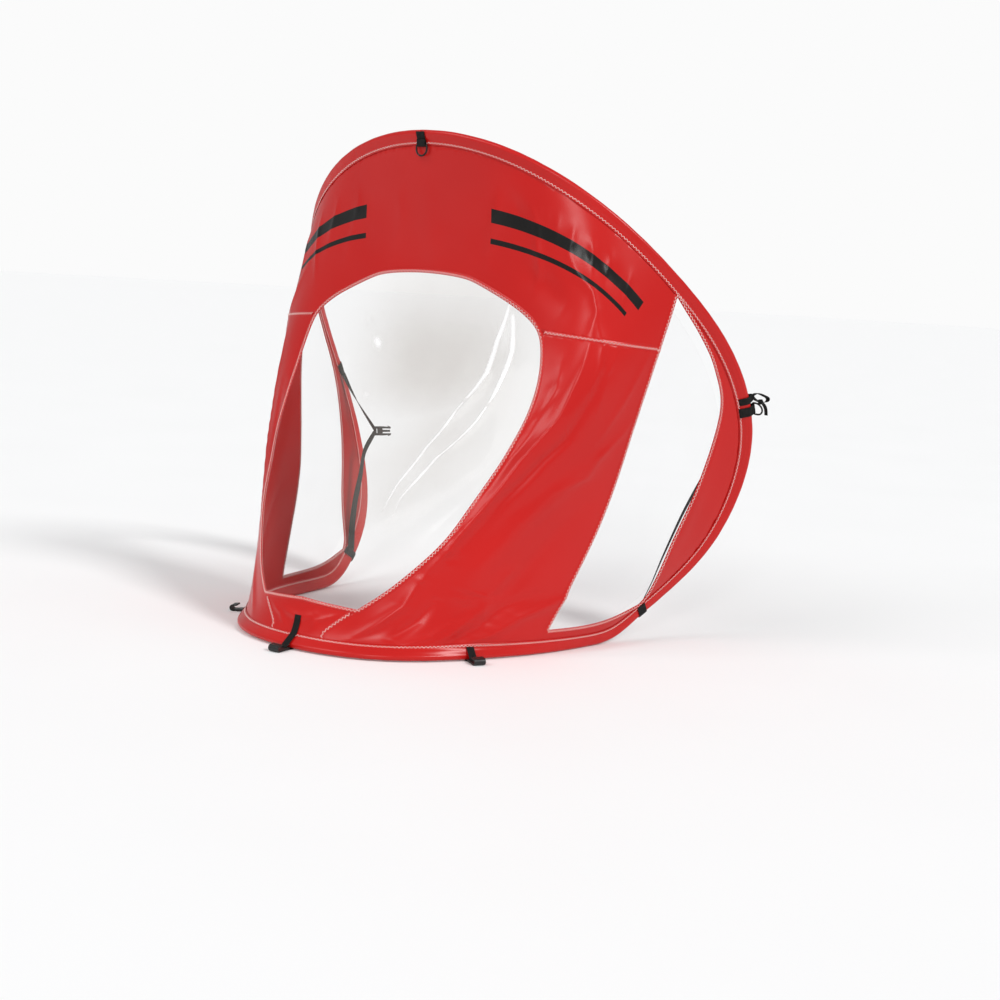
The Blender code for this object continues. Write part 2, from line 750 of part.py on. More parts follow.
def wire_ring(name, centre, bar_way, hang_way):
    """D ring: straight bar through the webbing and a round bow that hangs from it."""
    half = WIDE_WEBBING / 2 + RING_SIDE_ROOM + RING_WIRE_RADIUS
    corner = RING_CORNER_RADIUS
    points = []
    for step in range(4):
        angle = math.radians(-90 + 30 * step)
        points.append((half - corner + corner * math.cos(angle), corner + corner * math.sin(angle)))
    drop = RING_DEPTH - half
    for step in range(11):
        angle = math.radians(18 * step)
        points.append((half * math.cos(angle), drop + half * math.sin(angle)))
    for step in range(4):
        angle = math.radians(180 + 30 * step)
        points.append((-half + corner + corner * math.cos(angle), corner + corner * math.sin(angle)))
    ring = curve_object(name, [points], "black_wire", depth=RING_WIRE_RADIUS)
    third = bar_way.cross(hang_way)
    matrix = Matrix((bar_way, hang_way, third)).transposed().to_4x4()
    matrix.translation = centre
    ring.matrix_basis = matrix
    return set_pivot(solid_from_curve(ring), centre)


def hook(name, centre, bar_way, out_way):
    """Flat plastic hook: slotted shank for the webbing, and a lip turned up and back."""
    bar_to_bend = HOOK_BAR / 2 + HOOK_SLOT + HOOK_SHANK
    line = belt([
        ((-HOOK_BAR / 2, 0), 0), ((bar_to_bend, HOOK_BEND_RADIUS), HOOK_BEND_RADIUS),
        ((bar_to_bend - HOOK_LIP, 2 * HOOK_BEND_RADIUS), 0)])
    outline = ribbon_outline(line, HOOK_THICKNESS)
    item = curve_object(name, [outline], "black_plastic", extrude=HOOK_WIDTH / 2, flat=True)
    half = HOOK_THICKNESS / 2
    slope = (math.asin(HOOK_BAR_HEIGHT / math.hypot(bar_to_bend, half))
             - math.atan2(half, bar_to_bend))
    way = (out_way * math.cos(slope) - UP * math.sin(slope)).normalized()
    rise = (UP * math.cos(slope) + out_way * math.sin(slope)).normalized()
    matrix = Matrix((way, rise, way.cross(rise))).transposed().to_4x4()
    matrix.translation = centre
    item.matrix_basis = matrix
    solid = solid_from_curve(item)
    size = (HOOK_SLOT, HOOK_THICKNESS * 2, NARROW_WEBBING + 2 * HOOK_LOOP_ROOM)
    spot = matrix @ Matrix.Translation((HOOK_BAR / 2 + HOOK_SLOT / 2, 0, 0))
    cutter = box_cutter(name + "_slot", size, spot)
    boolean(solid, cutter, "DIFFERENCE")
    return set_pivot(bake(solid), centre)


# Webbing tabs

def wrap_line(station, loop_at, loop_radius, run, lead=()):
    """Midline that goes out over the bead, round a bar and back under the bead."""
    start = [((run, FLANGE_LAP), 0)]
    if lead:
        start = [(station.flat(point), 0) for point in lead]
    bead = ((0, 0), BEAD_LAP * FACET_SPREAD)
    loop = (station.flat(loop_at), loop_radius * FACET_SPREAD)
    return belt([*start, bead, loop, bead, ((run, -FLANGE_LAP), 0)])


def make_floor_tie(name, share, reach, lead_shares=()):
    """Tab and hook at the deck: the hook lies on the deck just outside the rim."""
    station = Station(share)
    out = -station.inward
    out.z = 0
    out -= station.along * out.dot(station.along)
    if out.dot(station.outward) < 0:
        out = -out
    out.normalize()
    loop_at = station.centre + out * reach
    loop_at.z = HOOK_BAR_HEIGHT
    lift = CLOTH_THICKNESS / 2 + LAP_CLEARANCE + WEBBING_THICKNESS / 2
    lead = [hood(xi, 0) + hood_normal(xi, 0) * lift for xi in lead_shares]
    line = wrap_line(station, loop_at, HOOK_LOOP, BASE_TAB_RUN, lead)
    tab = ribbon(f"{name}_tab", line, NARROW_WEBBING, station.frame(), "black_webbing")
    return tab, hook(f"{name}_hook", loop_at, station.along, out)


def make_floor_ties():
    make_floor_tie("front", 0.0, FRONT_LOOP_REACH, FRONT_STRIP_SHARES)
    tab, item = make_floor_tie("left_base", BASE_TAB_SHARE, BASE_LOOP_REACH)
    mirrored(tab, "right_base_tab")
    centre = item.location.copy()
    twin = mirrored(item, "right_base_hook")
    set_pivot(twin, opposite(centre))


def make_side_ties():
    """Side tabs round the rim with their rings; returns the left tab's inner leg."""
    station = Station(SIDE_TAB_SHARE)
    loop_at = station.place(-SIDE_LOOP_REACH, 0)
    line = wrap_line(station, loop_at, RING_LOOP, SIDE_TAB_RUN)
    tab = ribbon("left_side_tab", line, WIDE_WEBBING, station.frame(), "black_webbing")
    mirrored(tab, "right_side_tab")
    hang = station.outward * math.sin(RING_REST) - station.inward * math.cos(RING_REST)
    ring = wire_ring("left_side_ring", loop_at, station.along, hang)
    set_pivot(mirrored(ring, "right_side_ring"), opposite(loop_at))
    return station, line


def make_top_tie():
    station = Station(1.0)
    lap = BEAD_LAP * FACET_SPREAD
    loop = RING_LOOP * FACET_SPREAD
    loop_flat = Vector((TOP_LOOP_DROP, FLANGE_LAP + loop))
    line = belt([
        ((-BEAD_LAP / 2, lap), 0), ((0, 0), -lap), (loop_flat, loop),
        ((TOP_TAB_END, TOP_TAB_END_RISE), 0)])
    ribbon("top_tab", line, WIDE_WEBBING, station.frame(), "black_webbing")
    wire_ring("top_ring", station.place(*loop_flat), station.along, -UP)


def make_lower_tabs():
    """Lower tabs over the rim; returns the left tab's inner leg."""
    station = Station(LOWER_TAB_SHARE)
    run = LOWER_TAB_RUN
    lap = BEAD_LAP * FACET_SPREAD
    line = belt([((run, FLANGE_LAP), 0), ((0, 0), lap), ((run, -FLANGE_LAP), 0)])
    tab = ribbon("left_lower_tab", line, WIDE_WEBBING, station.frame(), "black_webbing")
    mirrored(tab, "right_lower_tab")
    return station, line


# Straps

def smoothed(stops):
    """A strap route with a smooth curve through its places; each stop is a place and a way."""
    places = through([stop[0] for stop in stops], ROUTE_STEPS)
    return list(zip(places, through([stop[1] for stop in stops], ROUTE_STEPS)))


def webbing_loft(name, route, width):
    """Strap swept along a bent route: stops are pairs of a place and a width direction."""
    rings = []
    for index, (point, side) in enumerate(route):
        before = route[max(index - 1, 0)][0]
        after = route[min(index + 1, len(route) - 1)][0]
        way = (after - before).normalized()
        face = way.cross(side).normalized() * WEBBING_THICKNESS / 2
        half = side.normalized() * width / 2
        rings.append([point + half + face, point - half + face, point - half - face,
                      point + half - face])
    return loft(name, rings, None, "black_webbing")


def leg_stops(station, line):
    """Two places and the width direction of a strap that lies on a tab's inner leg."""
    start, end = line[-2], line[-1]
    way = (end - start).normalized()
    lift = Vector((way.y, -way.x)) * (WEBBING_THICKNESS + LAP_CLEARANCE)
    middle = (start + end) / 2 + lift
    side = station.place(way.x, way.y) - station.centre
    reach = WIDE_WEBBING * LEG_SHARE
    return [(station.place(*middle, reach), side), (station.place(*middle, -reach), side)]


def make_straps(upper, lower):
    """Slack straps inside the hood: the right one carries the buckle."""
    head = leg_stops(*upper)
    foot = leg_stops(*lower)
    top = head[1][0]
    bottom = foot[0][0]
    sag_way = Vector(SAG_SHARES)
    bar = Vector(BUCKLE_BAR_SHARES).normalized()
    prong = Vector(BUCKLE_PRONG_SHARES)
    prong = (prong - bar * prong.dot(bar)).normalized()

    def hang(place, sag):
        return top.lerp(bottom, place[0]) + sag_way * place[1] * sag

    def stops(places, sag, start, end):
        count = len(places) + 1
        return [(hang(place, sag), start.lerp(end, (step + 1) / count))
                for step, place in enumerate(places)]

    centre = hang(BUCKLE_PLACE_SHARES, STRAP_SAG)
    thick = bar.cross(prong)
    bend = []
    for step in range(-1, BUCKLE_BENDS + 2):
        angle = BUCKLE_WRAP * (2 * min(max(step, 0), BUCKLE_BENDS) / BUCKLE_BENDS - 1)
        spot = centre + (prong * math.cos(angle) + thick * math.sin(angle)) * BUCKLE_LOOP
        leave = (thick * math.cos(angle) - prong * math.sin(angle)) * BUCKLE_LOOP * 2
        if step < 0:
            spot -= leave
        if step > BUCKLE_BENDS:
            spot += leave
        bend.append((spot, bar))
    first = [head[1], *stops(STRAP_UPPER_SHARES, STRAP_SAG, head[1][1], bar), bend[0]]
    last = [bend[-1], *stops(STRAP_LOWER_SHARES, STRAP_SAG, bar, foot[0][1]), foot[0]]
    route = [head[0], *smoothed(first), *bend[1:-1], *smoothed(last), foot[1]]
    moved_to_right(webbing_loft("strap", route, NARROW_WEBBING), "right_side_strap")
    middle = stops(PLAIN_STRAP_SHARES, STRAP_TAIL_SAG, head[1][1], foot[0][1])
    plain = [head[0], *smoothed([head[1], *middle, foot[0]]), foot[1]]
    webbing_loft("left_side_strap", plain, NARROW_WEBBING)
    make_buckle(centre, bar, prong)


def make_buckle(centre, bar, prong):
    """Male half of a side release buckle: ladder bar, body and three prongs."""
    room = NARROW_WEBBING / 2 + HOOK_LOOP_ROOM
    half = room + BUCKLE_RAIL
    rear = -BUCKLE_BAR / 2
    slot_end = BUCKLE_BAR / 2 + BUCKLE_SLOT
    front = slot_end + BUCKLE_BODY
    tip = front + PRONG_LENGTH
    barb = tip - 2 * PRONG_WIDTH
    side = [
        (rear, half), (front, half), (barb, half - PRONG_BARB / 2), (barb, half + PRONG_BARB),
        (tip, half - PRONG_BARB), (tip, half - PRONG_WIDTH), (front, half - PRONG_WIDTH)]
    guide = tip - PRONG_WIDTH / 2
    middle = [(front, PRONG_WIDTH / 2), (guide, PRONG_WIDTH / 3)]
    upper = side + middle
    outline = upper + [(x, -y) for x, y in reversed(upper)]
    slot = [(-rear, room), (slot_end, room), (slot_end, -room), (-rear, -room)]
    buckle = curve_object(
        "buckle", [outline, slot], "black_plastic", extrude=BUCKLE_THICKNESS / 2, flat=True)
    matrix = Matrix((prong, bar, prong.cross(bar))).transposed().to_4x4()
    matrix.translation = centre
    buckle.matrix_basis = matrix
    twin = moved_to_right(solid_from_curve(buckle), "right_side_buckle")
    set_pivot(twin, opposite(centre))


def make_tie_strap():
    """Tie strap of the left side: a wrap round the rim, a bow, a knot and a tail."""
    station = Station(TIE_STRAP_SHARE)
    end = Vector((-BEAD_LAP - TIE_ROOT * KNOT_SHARE, 0))
    line = wrap_line(station, station.place(*end), TIE_LOOP, SIDE_TAB_RUN * KNOT_SHARE)
    strap = ribbon("left_tie_strap", line, NARROW_WEBBING, station.frame(), "black_webbing")
    aft = Vector((-math.cos(TIE_TURN), math.sin(TIE_TURN), 0))
    matrix = Matrix((aft, UP, aft.cross(UP))).transposed().to_4x4()
    matrix.translation = station.place(*end)
    bow = through([Vector(point) * KNOT_SIZE for point in BOW_SHARES], CURVE_STEPS)
    tail = through([Vector(point) * KNOT_SIZE for point in TAIL_SHARES], CURVE_STEPS)
    outline = ribbon_outline([*bow, bow[0], bow[1]], WEBBING_THICKNESS)
    count = len(bow)
    rim_line = outline[1:count + 1]
    hole = outline[-count - 1:-1]
    loop = curve_object("bow", [rim_line, hole], "black_webbing", extrude=BOW_WEBBING / 2, flat=True)
    loop.matrix_basis = matrix
    pieces = [
        solid_from_curve(loop),
        ribbon("tail", tail, BOW_WEBBING * KNOT_SHARE, matrix, "black_webbing")]
    for place, size in ((TAIL_SHARES[0], KNOT_SIZE), ((0, 0), TIE_ROOT)):
        turn = matrix @ Matrix.Translation(Vector(place).to_3d() * KNOT_SIZE)
        sides = (size * KNOT_SHARE, size * KNOT_SHARE, size)
        pieces.append(box_cutter("knot", sides, turn))
    for piece in pieces:
        boolean(strap, piece, "UNION")
    bake(strap)


def main():
    make_panels()
    make_sleeves()
    make_hoop()
    make_top_tie()
    make_floor_ties()
    upper = make_side_ties()
    lower = make_lower_tabs()
    make_straps(upper, lower)
    make_tie_strap()


main()
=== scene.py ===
# Looks of the pop up canoe sail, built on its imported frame: cloth, stitching, windows, webbing,
# wire rings, plastic hooks and buckle, floor, light and the camera of the photograph.

import math
from bisect import bisect_left
from contextlib import contextmanager

import bmesh
import bpy
import numpy as np
from mathutils import Matrix, Vector, noise
from mathutils.geometry import delaunay_2d_cdt


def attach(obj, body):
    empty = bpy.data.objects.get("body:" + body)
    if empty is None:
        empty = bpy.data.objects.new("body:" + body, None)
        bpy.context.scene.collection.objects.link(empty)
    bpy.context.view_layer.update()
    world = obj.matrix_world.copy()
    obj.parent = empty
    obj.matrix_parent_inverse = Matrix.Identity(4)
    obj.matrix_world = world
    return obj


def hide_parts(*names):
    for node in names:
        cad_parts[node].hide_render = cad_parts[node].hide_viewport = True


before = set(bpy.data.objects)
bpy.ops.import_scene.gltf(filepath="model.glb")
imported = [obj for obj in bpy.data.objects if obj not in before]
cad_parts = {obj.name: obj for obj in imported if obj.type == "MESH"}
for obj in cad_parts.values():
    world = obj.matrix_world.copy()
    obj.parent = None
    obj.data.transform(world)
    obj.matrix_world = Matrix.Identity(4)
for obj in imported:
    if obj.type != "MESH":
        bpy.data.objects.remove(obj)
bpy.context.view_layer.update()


# Camera of the photograph
CAMERA_PLACE = (2.1093, 1.6870, 0.5689)
CAMERA_LOOK = (-0.80288, -0.58107, -0.13320)
CAMERA_UP = (-0.07384, -0.12477, 0.98943)
CAMERA_RIGHT = (-0.59155, 0.80423, 0.05727)
CAMERA_LENS = 62.07
CAMERA_SENSOR = 36
CAMERA_CLIP_START = 0.05
CAMERA_CLIP_END = 100

# Studio: strength and colour of the room's light and of the wall that the camera sees, the
# lamps' names, places, strengths and spreads, and the floor
ROOM_LIGHT = 0.5
ROOM_COLOUR = (0.98, 0.99, 1.0, 1)
WALL_LIGHT = 0.965
WALL_COLOUR = (1.0, 1.0, 1.0, 1)
LAMPS = (
    ("key", (0.1, 2.0, 1.7), 1.6, math.radians(16)),
    ("fill", (2.2, -0.9, 2.0), 0.9, math.radians(30)),
    ("front", (2.4, 1.25, 1.15), 0.5, math.radians(12)))
FLOOR_RADIUS = 30
FLOOR_SIDES = 96
FLOOR_DROP = 0.0002

# Hood sizes, as in the part
HOOD_LENGTH = 0.593
HOOD_HALF_WIDTH = 0.424
HOOD_HEIGHT = 0.758
FORE_AFT_SHIFT = -0.016
CAD_BEAD_RADIUS = 0.0052
CAD_FACET_SPREAD = 1 / math.cos(math.radians(15))
CAD_LAP_CLEARANCE = 0.0005
CAD_FLANGE_HALF = 0.0006
WEBBING_THICKNESS = 0.001
REST_HEIGHT = (CAD_BEAD_RADIUS + CAD_LAP_CLEARANCE + WEBBING_THICKNESS) * CAD_FACET_SPREAD
FLANGE_REACH = 0.018
FLANGE_DEPTH_GUESS = 0.03
FLANGE_DEPTH_ROUNDS = 12

# Rim stations from front centre round the left side to the top, at equal turns
RIM_SHARES = (
    (0.501, 0.0, 0.0), (0.464, 0.250, 0.0), (0.344, 0.443, 0.0), (0.180, 0.561, 0.0),
    (0.003, 0.634, 0.0), (-0.179, 0.672, 0.006), (-0.341, 0.736, 0.070),
    (-0.457, 0.833, 0.166), (-0.499, 0.929, 0.294), (-0.470, 0.991, 0.433),
    (-0.384, 0.991, 0.559), (-0.275, 0.932, 0.670), (-0.165, 0.823, 0.770),
    (-0.067, 0.677, 0.860), (0.013, 0.486, 0.934), (0.064, 0.255, 0.983), (0.083, 0.0, 1.0))
FLAT_RIM_SHARE = 0.28
RAISED_RIM_SHARE = 0.36
PUFF_LENGTH_SHARES = (0.4, 0.21, -0.16, -0.02, 0.48, -0.11, 0.09, -0.44)
PUFF_HEIGHT_SHARES = (-0.1, 0.24, -0.16, -0.01, 0.14, -0.11, 0.08, -0.17)
PUFF_WIDTH_SHARES = (0.35, -0.92, 0.63, -0.44, 1.94)

# Places along the rim, as shares of the half turn from front centre to top
FRONT_SEAM_SHARE = 0.029
BASE_TAB_SHARE = 0.16
LOWER_TAB_SHARE = 0.36
SIDE_TAB_SHARE = 0.586
TIE_STRAP_SHARE = 0.597
WINDOW_PEAK_SHARE = 0.7195
RIM_STEP_SHARE = 0.003

# Outlines on the unit disc: first value forward, second to the left
WINDOW_TOP_SHARES = (
    (-0.80, 0.0), (-0.79, 0.10), (-0.773, 0.147), (-0.733, 0.223), (-0.693, 0.277),
    (-0.657, 0.31))
WINDOW_FLANK_SHARES = (
    (-0.657, 0.31), (-0.60, 0.33), (-0.453, 0.353), (-0.293, 0.37), (-0.12, 0.395),
    (0.05, 0.41), (0.207, 0.41), (0.357, 0.375), (0.543, 0.297), (0.687, 0.203))
WINDOW_SILL_SHARES = ((0.687, 0.203), (0.68, 0.10), (0.67, 0.0))
SHOULDER_SEAM_SHARES = ((-0.657, 0.31), (-0.61, 0.447), (-0.55, 0.60), (-0.497, 0.737))
FRONT_SEAM_SHARES = ((0.687, 0.203), (0.767, 0.15), (0.86, 0.10))
SIDE_FRONT_SHARES = (
    (-0.497, 0.737), (-0.32, 0.737), (-0.033, 0.757), (0.203, 0.743), (0.427, 0.713),
    (0.597, 0.683))
SIDE_SILL_SHARES = ((0.597, 0.683), (0.493, 0.807), (0.397, 0.89))
SIDE_AFT_SHARES = (
    (0.397, 0.89), (0.337, 0.90), (0.157, 0.907), (-0.063, 0.923), (-0.27, 0.918),
    (-0.403, 0.88), (-0.51, 0.827))

# Cloth, hems and stitches
CLOTH_THICKNESS = 0.0007
VINYL_THICKNESS = 0.0005
SLEEVE_CLOTH = 0.0005
FILM_GAP = 0.00005
FILM_REACH = 0.955
GRID_SHARE = 0.0076
EDGE_ROOM_SHARE = 0.6
NUDGE_SHARE = 0.001
TINY = 1e-12
OUTLINE_STEPS = 14
MITRE_LIMIT = 0.45
RIBBON_MITRE_LIMIT = 0.5
ROW_SHARE = math.sqrt(0.75)
RELAX_ROUNDS = 60
WINDOW_TUCK = 0.007
RIM_TUCK_SHARE = 0.72
HEM_WIDTH = 0.0068
HEM_RISE = 0.0006
HEM_EDGE_RISE = 0.0001
HEM_CROWN = 1.08
HEM_SHOULDER = 0.0012
HEM_START = 0.0003
HEM_STEP = 0.005
SEAM_STEP = 0.004
SEAM_STEPS_LEFT_OUT = 3
UNDER_STITCH_GAP = 0.0002
STITCH_INSET = 0.0026
STITCH_REACH = 0.0019
STITCH_PITCH = 0.0030
THREAD_RADIUS = 0.00042
THREAD_RISE = 0.8
THREAD_BEND = 0.25

# Sleeve shape
SLEEVE_RADIUS = 0.0049
FLANGE_HEIGHT = 0.0008
SLEEVE_LIFT_OFF = 60
SLEEVE_FACET = 15
SLEEVE_BULGE = 0.0003
TAUT_STEPS = 4
STITCH_LINE = 0.0145
STITCH_SHARE = 0.8
PUCKER_HEIGHT = 0.0006
PUCKER_LENGTH = 0.017
PUCKER_WIDTH = 0.012
PUCKER_ROOM = 0.004
BEAD_PUCKER = 0.0003
PUCKER_SIDE_SEED = 7
PUCKER_PART_SEED = 20

# Webbing, wire, hook and buckle sizes
WIDE_WEBBING = 0.016
NARROW_WEBBING = 0.012
BOW_WEBBING = 0.008
KNOT_SIZE = 0.009
TIE_ROOT = 0.005
TIE_TURN = math.radians(12)
RING_REST = math.radians(60)
RING_WIRE_RADIUS = 0.0014
RING_DEPTH = 0.016
RING_CORNER_RADIUS = 0.0022
RING_SIDE_ROOM = 0.0006
HOOK_WIDTH = 0.018
HOOK_THICKNESS = 0.0024
HOOK_SHANK = 0.015
HOOK_BEND_RADIUS = 0.004
HOOK_LIP = 0.007
HOOK_SLOT = 0.0034
HOOK_LOOP_ROOM = 0.0006
BUCKLE_BAR = 0.0026
BUCKLE_SLOT = 0.0036
BUCKLE_BODY = 0.0095
BUCKLE_RAIL = 0.0028
BUCKLE_THICKNESS = 0.0036
PRONG_LENGTH = 0.015
PRONG_WIDTH = 0.0026
PRONG_BARB = 0.0016
FRONT_LOOP_REACH = 0.0112
BASE_LOOP_REACH = 0.0112
SIDE_LOOP_REACH = 0.0095
BASE_TAB_RUN = 0.013
SIDE_TAB_RUN = 0.016
LOWER_TAB_RUN = 0.017
TOP_LOOP_DROP = 0.0175
TOP_TAB_END = 0.0085
TOP_TAB_END_RISE = 0.0056
STRAP_SAG = 0.054
STRAP_TAIL_SAG = 0.016
CLEARANCE = 0.0003
BEND_FACET = math.radians(9)
WINDING_LIMIT = math.radians(300)
BUCKLE_BENDS = 8
BUCKLE_WRAP = math.radians(35)
LEG_SHARE = 0.55
KNOT_SHARE = 0.8
ROUTE_STEPS = 12
WEBBING_STEP = 0.003

# Upper half of the webbing's section: shares of half the width and of half the thickness across
# it, and share of half the thickness up
WEBBING_SECTION = (
    (-1, 0.0, 0.0), (-1, 0.3, 0.75), (-1, 1.0, 1.0), (-0.4, 0.0, 1.06), (0.4, 0.0, 1.06),
    (1, -1.0, 1.0), (1, -0.3, 0.75))

# Rounded edges and steps of the hard pieces
EDGE_ROUNDING = 0.0005
EDGE_SEGMENTS = 3
HOOK_EDGE = math.radians(40)
BUCKLE_EDGE = math.radians(30)
WELD_GAP = 0.00002
CORNER_STEPS = 9
RING_BOW_STEPS = 36
RING_SMOOTHNESS = 5

# Routes of the strips and straps, and the bow, tail and knot of the tie strap, as shares
FRONT_STRIP_SHARES = (0.785, 0.83, 0.87, 0.91)
BUCKLE_PLACE_SHARES = (0.36, 1.0)
STRAP_UPPER_SHARES = ((0.10, 0.24), (0.20, 0.52))
STRAP_LOWER_SHARES = ((0.47, 0.62), (0.60, 0.44), (0.74, 0.22), (0.87, 0.08))
PLAIN_STRAP_SHARES = ((0.12, 0.30), (0.30, 0.85), (0.52, 1.0), (0.75, 0.55), (0.89, 0.12))
SAG_SHARES = (-0.49, -0.85, 0.19)
BUCKLE_BAR_SHARES = (0.475, -0.290, 0.830)
BUCKLE_PRONG_SHARES = (-0.5915, -0.8042, 0.0573)
BOW_SHARES = (
    (0.0, 0.25), (1.0, 0.62), (2.0, 0.55), (3.0, 0.28), (4.05, -0.08), (4.35, -0.45),
    (4.05, -0.82), (3.2, -0.92), (2.44, -0.85), (1.4, -0.6), (0.6, -0.25))
TAIL_SHARES = ((2.44, -0.85), (3.3, -1.3), (3.95, -2.1), (4.2, -3.2))
TIE_STEPS = 8
BOW_TWIST = 0.2
TAIL_TWIST = 0.3
KNOT_STEPS = 36
KNOT_TURNS = 1.04
KNOT_DEPTH = 0.85
KNOT_CLIMB = 0.5
KNOT_WEBBING = 0.9
KNOT_WEBBING_THICKNESS = 1.2
KNOT_WEBBING_STEP = 0.01
CORE_ROWS = 12
CORE_SIDES = 16
CORE_DEPTH = 0.8
CORE_REACH = 0.95
CORE_LEAST_WIDTH = 0.05

BEAD_LAP = CAD_BEAD_RADIUS + CAD_LAP_CLEARANCE + WEBBING_THICKNESS / 2
FLANGE_LAP = CAD_FLANGE_HALF + CAD_LAP_CLEARANCE + WEBBING_THICKNESS / 2
RING_LOOP = RING_WIRE_RADIUS + CLEARANCE + WEBBING_THICKNESS / 2
HOOK_BAR = HOOK_THICKNESS
HOOK_LOOP = math.hypot(HOOK_BAR, HOOK_THICKNESS) / 2 + HOOK_LOOP_ROOM + WEBBING_THICKNESS / 2
HOOK_BAR_HEIGHT = (HOOK_LOOP + WEBBING_THICKNESS / 2) * CAD_FACET_SPREAD
BUCKLE_LOOP = math.hypot(BUCKLE_BAR, BUCKLE_THICKNESS) / 2 + CLEARANCE + WEBBING_THICKNESS / 2
TIE_LOOP = (WEBBING_THICKNESS + CLEARANCE) / 2
UP = Vector((0, 0, 1))
MIRROR = Matrix.Scale(-1, 4, Vector((0, 1, 0)))

